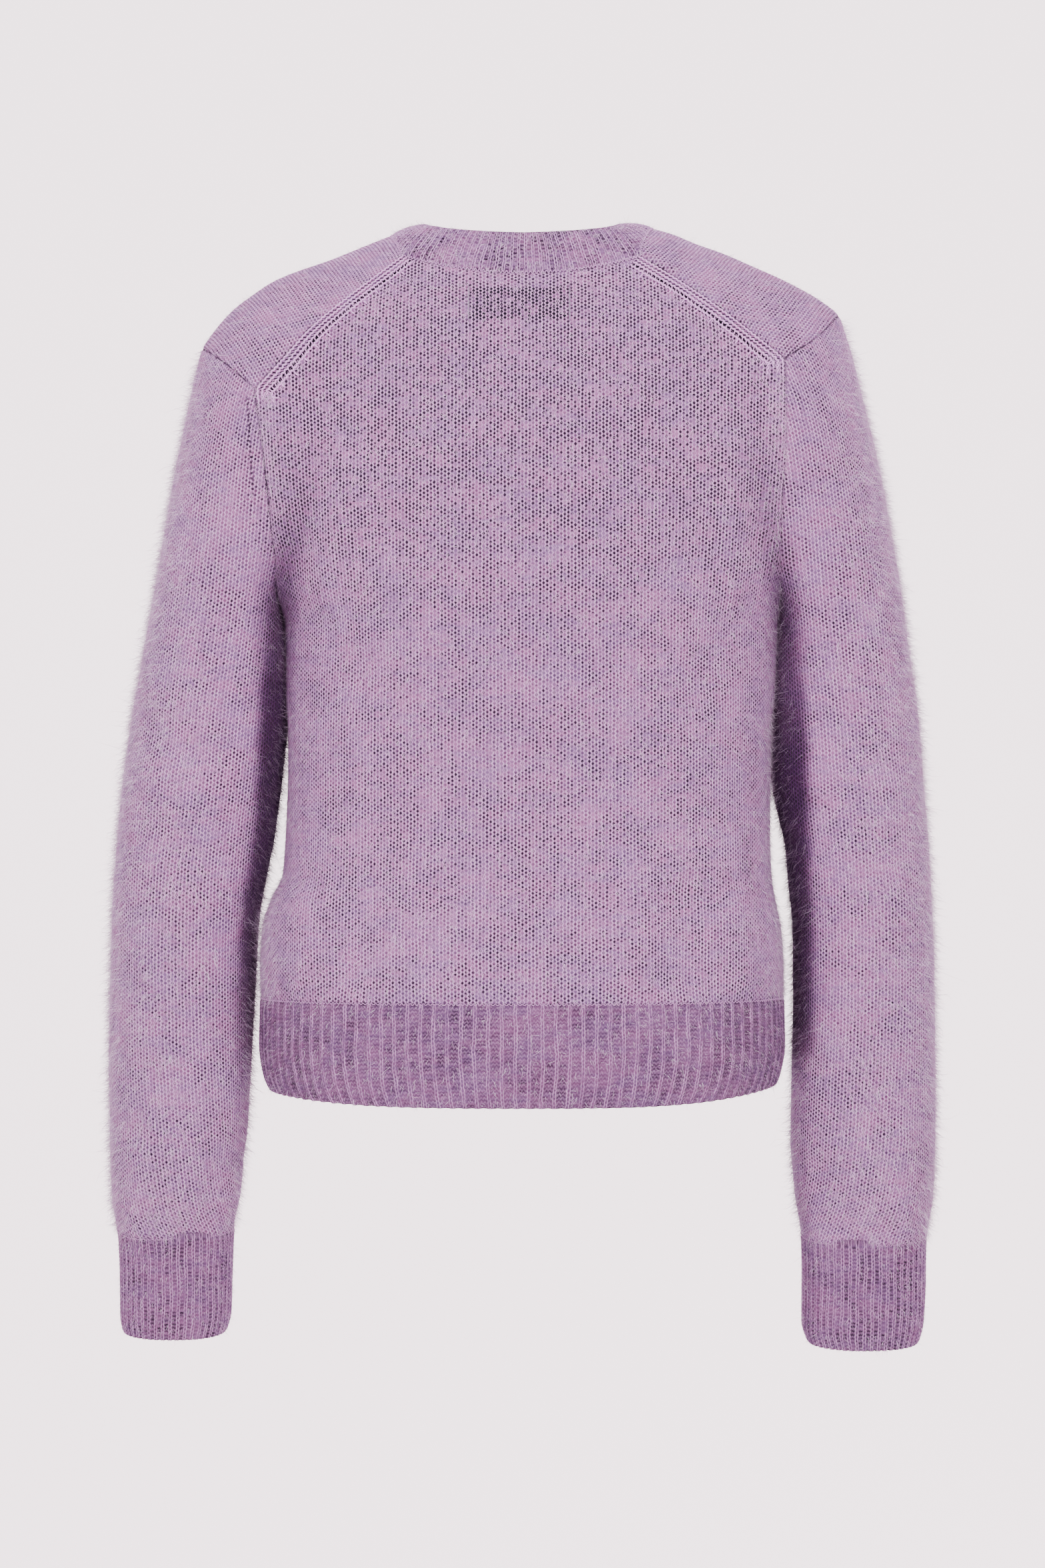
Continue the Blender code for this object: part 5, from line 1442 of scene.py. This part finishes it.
def yarn_material(name, tones, rib=None, label=False):
    """Marled mohair knit. The UV map counts wales (or ribs) across and rows up."""
    mat, tree, shader = new_material(name)
    place = object_place(tree)
    u, v, _ = uv_parts(tree, "knit")
    # each leg and each row of a stitch has its own tone
    legs = times(tree, u, 2.0)
    leg_tone = per_stitch(tree, legs, v)
    hole_tone = per_stitch(tree, calc(tree, "ADD", legs, 0.5), calc(tree, "ADD", v, 0.5))
    # the stitches wander a little
    u = calc(tree, "MULTIPLY_ADD", wander(tree, place, 140.0), 0.20, u)
    v = calc(tree, "MULTIPLY_ADD", wander(tree, place, 210.0), 0.34 if rib is None else 0.9, v)
    from_middle = apart(tree, calc(tree, "FRACT", u), 0.5)
    if rib is None:
        leg, off = plain_legs(tree, from_middle, v)
        gap = ramp(tree, off, 0.42, 1.00)
    else:
        far = times(tree, from_middle, RIBS[rib][0])
        leg, off, bars = rib_legs(tree, far, v)
        leg = calc(tree, "MAXIMUM", leg, bars)
        open_from, open_to = (0.26, 0.72) if rib == "neck" else (0.33, 0.92)
        gap = calc(tree, "SUBTRACT", ramp(tree, off, open_from, open_to), times(tree, bars, 1.4))
    fleck = noise(tree, place, 1500.0, 2.0, 0.6)
    strand = noise(tree, stretched(tree, place, 1.0, 1.0, 0.35), 2600.0, 2.0, 0.7, 1.5)
    # neighbouring wales differ over many rows, as the yarn's thickness does
    drift = joined(tree, times(tree, u, 2.6), times(tree, v, 0.09))
    drift = ramp(tree, noise(tree, drift, 1.0, 2.0), 0.32, 0.68, -0.22, 0.30)
    glow = calc(tree, "MULTIPLY_ADD", fleck, 0.65, calc(tree, "MULTIPLY_ADD", leg_tone, 0.75, drift))
    worked = blend_colour(tree, times(tree, leg, glow), marled(tree, place, tones), tones["light"])
    # brushed fibres veil the stitches more in some places than in others
    veil = ramp(tree, noise(tree, place, 42.0, 3.0, 0.6), 0.36, 0.66, 1.0, 0.5)
    darker, dark = (0.52, 0.30) if rib == "hem" else (0.85, 0.42)
    depth = times(tree, gap, veil, calc(tree, "MULTIPLY_ADD", hole_tone, darker, dark))
    if rib == "hem":
        # the purl wales lie deeper than the knit ones and are painted darker, as in shade
        depth = calc(tree, "ADD", depth, ramp(tree, far, 1.15, 1.60, 0.0, 0.12))
    hollow = tones["hole"]
    if label:
        worked, hollow, depth = over_label(tree, place, worked, depth, off, hole_tone, tones)
    # painted shade: the holes between the stitches are painted dark
    colour = blend_colour(tree, depth, worked, hollow)
    colour = blend_colour(tree, seam_shade(tree, place), colour, tones["hole"])
    colour = blend_colour(tree, ramp(tree, strand, 0.58, 0.76, 0.0, 0.36), colour, tones["light"])
    if rib is None and not label:
        colour = blend_colour(tree, ladder_shade(tree, place), colour, tones["hole"])
    # painted shade: the colour darkens where finished() wrote painted shade, between sleeve and body, in the
    # armhole folds and on the sides
    shaded = blend_colour(tree, 1.0, colour, (0.085, 0.042, 0.105), "MULTIPLY")
    coloured(tree, shader, blend_colour(tree, painted_shade_amount(tree), colour, shaded))
    height = calc(tree, "MULTIPLY_ADD", leg, 0.72, times(tree, strand, 0.34))
    bumped(tree, shader, height, 0.9, 0.0012)
    shader.inputs["Roughness"].default_value = 0.92
    shader.inputs["Specular IOR Level"].default_value = 0.12
    shader.inputs["Sheen Weight"].default_value = 0.12
    shader.inputs["Sheen Roughness"].default_value = 0.45
    shader.inputs["Sheen Tint"].default_value = (0.96, 0.66, 0.90, 1)
    return mat


def loose_yarn_material(name, tones, dark=False):
    """Yarn laid on the knit, marled and finely twisted; the dark one is a strip's ground with its holes, the
    same yarn with painted shade, as if shaded by the raised yarns, and its holes painted dark.
    """
    mat, tree, shader = new_material(name)
    place = object_place(tree)
    twist = noise(tree, place, 1700.0, 2.0, 0.6)
    marl = ramp(tree, noise(tree, place, 90.0, 3.0, 0.6), 0.36, 0.64)
    body = blend_colour(tree, marl, tones["blue"], tones["pink"])
    # painted shade: the dark ground takes less of the light fibres' tone
    least, most = (0.1, 0.4) if dark else (0.55, 1.0)
    colour = blend_colour(tree, ramp(tree, twist, 0.3, 0.7, least, most), body, tones["light"])
    if dark:
        # the holes between the stitches lie a row apart
        column_at, row_at, _ = uv_parts(tree, "knit")
        rows = wave(tree, calc(tree, "MULTIPLY_ADD", column_at, 0.5, row_at))
        ladder = ramp(tree, column_at, 5.0, 5.4)
        hollow = blend_colour(tree, ladder, tones["hole"], (0.006, 0.003, 0.008))
        depth = calc(tree, "MAXIMUM", ladder, ramp(tree, rows, -0.6, 0.4, 0.35, 1.0))
        colour = blend_colour(tree, depth, colour, hollow)
    coloured(tree, shader, colour)
    bumped(tree, shader, twist, 0.5, 0.0004)
    shader.inputs["Roughness"].default_value = 0.92
    shader.inputs["Specular IOR Level"].default_value = 0.12
    return mat


def fibre_material():
    mat, tree, shader = new_material("mohair_fibre")
    share = ramp(tree, noise(tree, object_place(tree), 160.0, 2.0), 0.35, 0.65)
    colour = blend_colour(tree, share, (0.76, 0.47, 0.71), (0.99, 0.75, 0.97))
    # painted shade: the fibres darken where the cloth under them has painted shade
    shade = times(tree, painted_shade_amount(tree), 0.86)
    coloured(tree, shader, blend_colour(tree, shade, colour, (0.060, 0.026, 0.068)))
    shader.inputs["Roughness"].default_value = 0.8
    shader.inputs["Specular IOR Level"].default_value = 0.3
    return mat


def shell_material():
    mat, tree, shader = new_material("button_shell")
    layers = noise(tree, stretched(tree, object_place(tree), 1.0, 1.0, 3.0), 190.0, 5.0, 0.6, 1.2)
    share = ramp(tree, layers, 0.3, 0.7)
    coloured(tree, shader, blend_colour(tree, share, (0.42, 0.31, 0.42), (0.66, 0.56, 0.66)))
    tree.links.new(ramp(tree, layers, 0.3, 0.7, 0.22, 0.38), shader.inputs["Roughness"])
    bumped(tree, shader, layers, 0.12, 0.0003)
    shader.inputs["Coat Weight"].default_value = 0.35
    return mat


def tape_material():
    mat, tree, shader = new_material("label_tape")
    x, _, z = parts(tree, object_place(tree))
    warp = calc(tree, "SINE", times(tree, x, 2 * math.pi / 0.0006))
    weft = calc(tree, "SINE", times(tree, z, 2 * math.pi / 0.0005))
    weave = times(tree, warp, weft)
    share = ramp(tree, weave, -1, 1)
    coloured(tree, shader, blend_colour(tree, share, (0.17, 0.11, 0.20), (0.24, 0.16, 0.27)))
    bumped(tree, shader, weave, 0.4, 0.0002)
    shader.inputs["Roughness"].default_value = 0.6
    return mat


def thread_material():
    mat, tree, shader = new_material("sewing_thread")
    twist = noise(tree, object_place(tree), 1400.0, 2.0)
    coloured(tree, shader, blend_colour(tree, twist, (0.28, 0.17, 0.30), (0.50, 0.36, 0.52)))
    shader.inputs["Roughness"].default_value = 0.7
    return mat


# ================================================================ the pieces
def strip_surface(xs):
    """The front's centre as a grid: rows up from the hem's edge to the neck's, columns at the places xs."""
    lines = []
    for left, right in zip(front_hem(1)[0][::-1], front_hem(-1)[0][::-1]):
        lines.append(np.concatenate([right[::-1], left]))
    for left, right in zip(FRONTS[1][1 : 1 - NECK_STEPS], FRONTS[-1][1 : 1 - NECK_STEPS]):
        lines.append(np.concatenate([right[::-1], left]))
    # of the neck rib only what lies before the shoulders
    ahead = 36
    for row in NECK[0][1:]:
        lines.append(np.concatenate([row[-ahead:], row[:ahead]]))
    grid = np.array([
        np.stack([xs] + [np.interp(xs, line[:, 0], line[:, k]) for k in (1, 2)], -1) for line in lines
    ])  # fmt: skip
    normals = grid_normals(grid, False)
    return grid, normals if normals[3, 0, 1] < 0 else -normals


def front_hem(side):
    """The hem rib's surface on one front, from the button band out to the side seam."""
    return hem_surface(-1, float(BAND[side] / half_width(side, HEM_SEAM)), side)


for left_over in [obj for obj in bpy.data.objects if obj.type in ("CAMERA", "LIGHT")]:
    bpy.data.objects.remove(left_over, do_unlink=True)

YARN = yarn_material("knit_yarn", LILAC)
YARN_BACK = yarn_material("knit_yarn_back", LILAC, label=True)
HEM_YARN = yarn_material("hem_yarn", RIB_LILAC, rib="hem")
CUFF_YARN = yarn_material("cuff_yarn", RIB_LILAC, rib="cuff")
NECK_YARN = yarn_material("neck_yarn", NECK_LILAC, rib="neck")
LOOSE = loose_yarn_material("loose_yarn", LILAC)
STRIP = loose_yarn_material("strip_ground", LILAC, dark=True)
NECK_SEAM_YARN = loose_yarn_material("neck_seam_yarn", NECK_LILAC)
RIB_SEAM_YARN = loose_yarn_material("rib_seam_yarn", RIB_LILAC)
FIBRES = fibre_material()
SHELL = shell_material()
TAPE = tape_material()
THREAD = thread_material()

FRONTS = {side: front_panel(side) for side in ENDS}
NECK = neck_surface()
SLEEVES = {side: sleeve_surface(side) for side in ENDS}
BACK = back_surface()
BACK_HEM = hem_surface(1, 1.0, -1.0)
# where stitches are raised, in mm across from a surface's middle column and along it from its first row
ALL_ACROSS, BACK_HALF = (-400, 400), (-14, 400)
ALL_ALONG, OVER_SHOULDER = (0, 999), (405, 999)

back = plain_knit("knit_back", BACK, (-240, 240), ALL_ACROSS, ALL_ALONG, YARN_BACK, ["back"], neck_trim)
fronts, sleeves, cuffs, hems = {}, {}, {}, {}
for side, end in ENDS.items():
    front, fine = front_surface(side), (ALL_ACROSS, OVER_SHOULDER)
    fronts[side] = plain_knit(f"knit_front_{end}", front, (-150, 110), *fine, YARN, [f"front_{end}"])
    fine = BACK_HALF, ALL_ALONG
    sleeves[side] = plain_knit(f"knit_sleeve_{end}", SLEEVES[side], (-190, 190), *fine, YARN, [f"sleeve_{end}"])
    cuff = cuff_surface(side)
    cuffs[side] = rib_knit(f"rib_cuff_{end}", *cuff, "cuff", CUFF_YARN, [f"cuff_{end}"], closed=True)
    hems[side] = rib_knit(f"rib_hem_front_{end}", *front_hem(side), "hem", HEM_YARN, [f"hem_front_{end}"])
hem_back = rib_knit("rib_hem_back", *BACK_HEM, "hem", HEM_YARN, ["hem_back"])
neck_band = rib_knit("rib_neck", *NECK, "neck", NECK_YARN, ["neck_band"])
over_band = strip_surface(np.linspace(14.0, -16.0, 13))
under_band = strip_surface(np.linspace(14.4, -8.0, 10))
lift = BAND_LIFT + KNIT
over = rib_knit("rib_band_right", *over_band, "neck", NECK_YARN, ["button_band_right"], lift=lift)
under = rib_knit("rib_band_left", *under_band, "neck", NECK_YARN, ["button_band_left"])

# ---------------------------------------------------------------- seams, bands and loops of the knit
for side, end in ENDS.items():
    lines, ways = shoulder_lines(side, 12.4)
    # the ground ends where the strip's stitches sink in
    ground(f"knit_shoulder_strip_{end}", lines[:-19], ways[:-19], 0.0, 7.4, STRIP, 0.35)
    legs = strip_legs(lines, ways, (0.9, 3.0, 5.0, 7.4), 0.75) + rungs(lines, ways, (5.0, 7.4), 0.7)
    tubes(f"yarn_shoulder_legs_{end}", legs, 0.56, LOOSE, "knit")
    tubes(f"yarn_shoulder_loops_{end}", narrowings(lines, ways, 10.0, 4.6), 0.5, LOOSE, "knit")

neck_seam = chain(NECK[0][0], NECK[1][0], 2.3, 0.75, 0.30)
tubes("yarn_neck_seam", [neck_seam], 0.28, NECK_SEAM_YARN, "knit", sides=3)
seam_lines = []
for rows, ways in (BACK_HEM, front_hem(1), front_hem(-1), cuff_surface(1), cuff_surface(-1)):
    seam_lines.append(chain(rows[0], ways[0], 2.6, 0.55, 0.2))
tubes("yarn_rib_seams", seam_lines, 0.30, RIB_SEAM_YARN, "knit", sides=3)

# ---------------------------------------------------------------- tape, buttons and their sewing
tape_x = np.linspace(TAPE_X + TAPE_HALF[0], TAPE_X - TAPE_HALF[0], 9)
tape_z = np.linspace(TAPE_Z - TAPE_HALF[1], TAPE_Z + TAPE_HALF[1], 5)[:, None]
points = torso(tape_x + 0 * tape_z, over_of(tape_x + 0 * tape_z, tape_z + 0 * tape_x, 1))
ways = torso_normal(points)
maps = np.zeros((*points.shape[:2], 3))
tape = shell(
    "label_tape",
    (points - ways * (KNIT + 0.45), maps, None),
    (points - ways * (KNIT + 1.05), maps, None),
    TAPE,
    "label_tape",
    "neck_label",
)
tacks = []
for x in (31.6, -27.6):
    z = np.linspace(-42.0, -63.0, 24)
    line = torso(x + 0.3 * np.sin(z * 2.2), over_of(x + 0 * z, z, 1))
    tacks.append(line + torso_normal(line) * (creased(line) + 0.35)[:, None])
tubes("thread_label_tacks", tacks, 0.42, THREAD, "knit")

sewing = []
for k in range(1, BUTTONS + 1):
    disc, spot = turned_button(f"button_disc_{k}", f"button_{k}", SHELL)
    sewing += button_threads(spot)
tubes("thread_buttons", sewing, 0.24, THREAD, "knit")

# ---------------------------------------------------------------- loose mohair fibres
def fuzzy_edges(points):
    """Fibres stand thickest where a piece turns sideways, and on the sleeves' outer sides."""
    aside = points - points.mean(1, keepdims=True)
    turned = np.abs(aside[..., 0]) / (np.abs(aside[..., 0]).max(1, keepdims=True) + 1)
    return 0.26 + 1.5 * turned**6 + 1.1 * np.clip((np.abs(points[..., 0]) - 176) / 32, 0, 1)


def fuzzy_sides(points):
    """The back is fuzziest next to its sides."""
    return 1.0 + 4.0 * np.clip((np.abs(points[..., 0]) - 140) / 14, 0, 1)


fibres("fibres_back", BACK[:2], 26000, 2600, 11, 3.8, 0.7, FIBRES, fuzzy_sides)
for side, end in ENDS.items():
    fibres(f"fibres_sleeve_{end}", SLEEVES[side][:2], 41000, 7000, 21 + side, 4.8, 1.5, FIBRES, fuzzy_edges)
    front = FRONTS[side], torso_normal(FRONTS[side])
    fibres(f"fibres_front_{end}", front, 7000, 700, 31 + side, 3.8, 0.8, FIBRES)
    fibres(f"fibres_cuff_{end}", cuff_surface(side), 2400, 300, 41 + side, 3.2, 0.8, FIBRES)
fibres("fibres_hem", BACK_HEM, 4000, 400, 51, 3.2, 0.8, FIBRES)
fibres("fibres_neck", NECK, 4000, 400, 61, 3.4, 0.9, FIBRES)


# ================================================================ camera, light and floor
def aimed(name, data, place, target):
    obj = linked(name, data)
    obj.location = place
    obj.rotation_euler = (Vector(target) - Vector(place)).to_track_quat("-Z", "Y").to_euler()
    return obj


def lamp(name, place, target, size, power, colour=(1, 1, 1)):
    data = bpy.data.lights.new(name, "AREA")
    data.shape = "RECTANGLE"
    data.size, data.size_y = size
    data.energy = power
    data.color = colour
    return aimed(name, data, place, target)


CAMERA_Z = -0.3344  # height of the photo's middle
view = bpy.data.cameras.new("camera")
view.sensor_fit = "VERTICAL"
view.angle = math.radians(17.83)
bpy.context.scene.camera = aimed("camera", view, (0, CAMERA_FAR * MM, CAMERA_Z), (0, 0, CAMERA_Z))

lamp("key", (-0.7, 2.7, 0.9), (0, 0, -0.33), (1.5, 1.5), 86)
lamp("fill", (1.5, 2.3, 0.0), (0, 0, -0.35), (1.6, 2.0), 38)
lamp("top", (0, 0.5, 1.6), (0, 0, -0.3), (1.6, 1.2), 20)
lamp("front_fill", (0.3, -1.7, 0.3), (0, 0, -0.35), (1.6, 1.6), 9)

world = bpy.data.worlds.new("world")
bpy.context.scene.world = world
world.use_nodes = True
world.node_tree.nodes["Background"].inputs[0].default_value = (0.93, 0.91, 0.93, 1)
world.node_tree.nodes["Background"].inputs[1].default_value = 0.56


def stage_sheet(name, wide, deep, place, turn, glow):
    """A pale sheet of the studio, lying flat or stood up."""
    mat, _, shader = new_material(name + "_paper")
    shader.inputs["Base Color"].default_value = (0.86, 0.825, 0.84, 1)
    shader.inputs["Roughness"].default_value = 0.95
    shader.inputs["Emission Color"].default_value = (1.0, 0.82, 0.875, 1)
    shader.inputs["Emission Strength"].default_value = glow
    bm = bmesh.new()
    bmesh.ops.create_grid(bm, x_segments=2, y_segments=2, size=0.5)
    mesh = as_mesh(bm, name)
    mesh.materials.append(mat)
    obj = linked(name, mesh)
    obj.scale = (wide, deep, 1)
    obj.location = place
    obj.rotation_euler = (math.radians(turn), 0, 0)


stage_sheet("floor", 6.0, 6.0, (0, 0.2, -1.3), 0, 0.0)
stage_sheet("backdrop", 2.8, 3.0, (0, -2.6, 0.0), 90, 2.65)
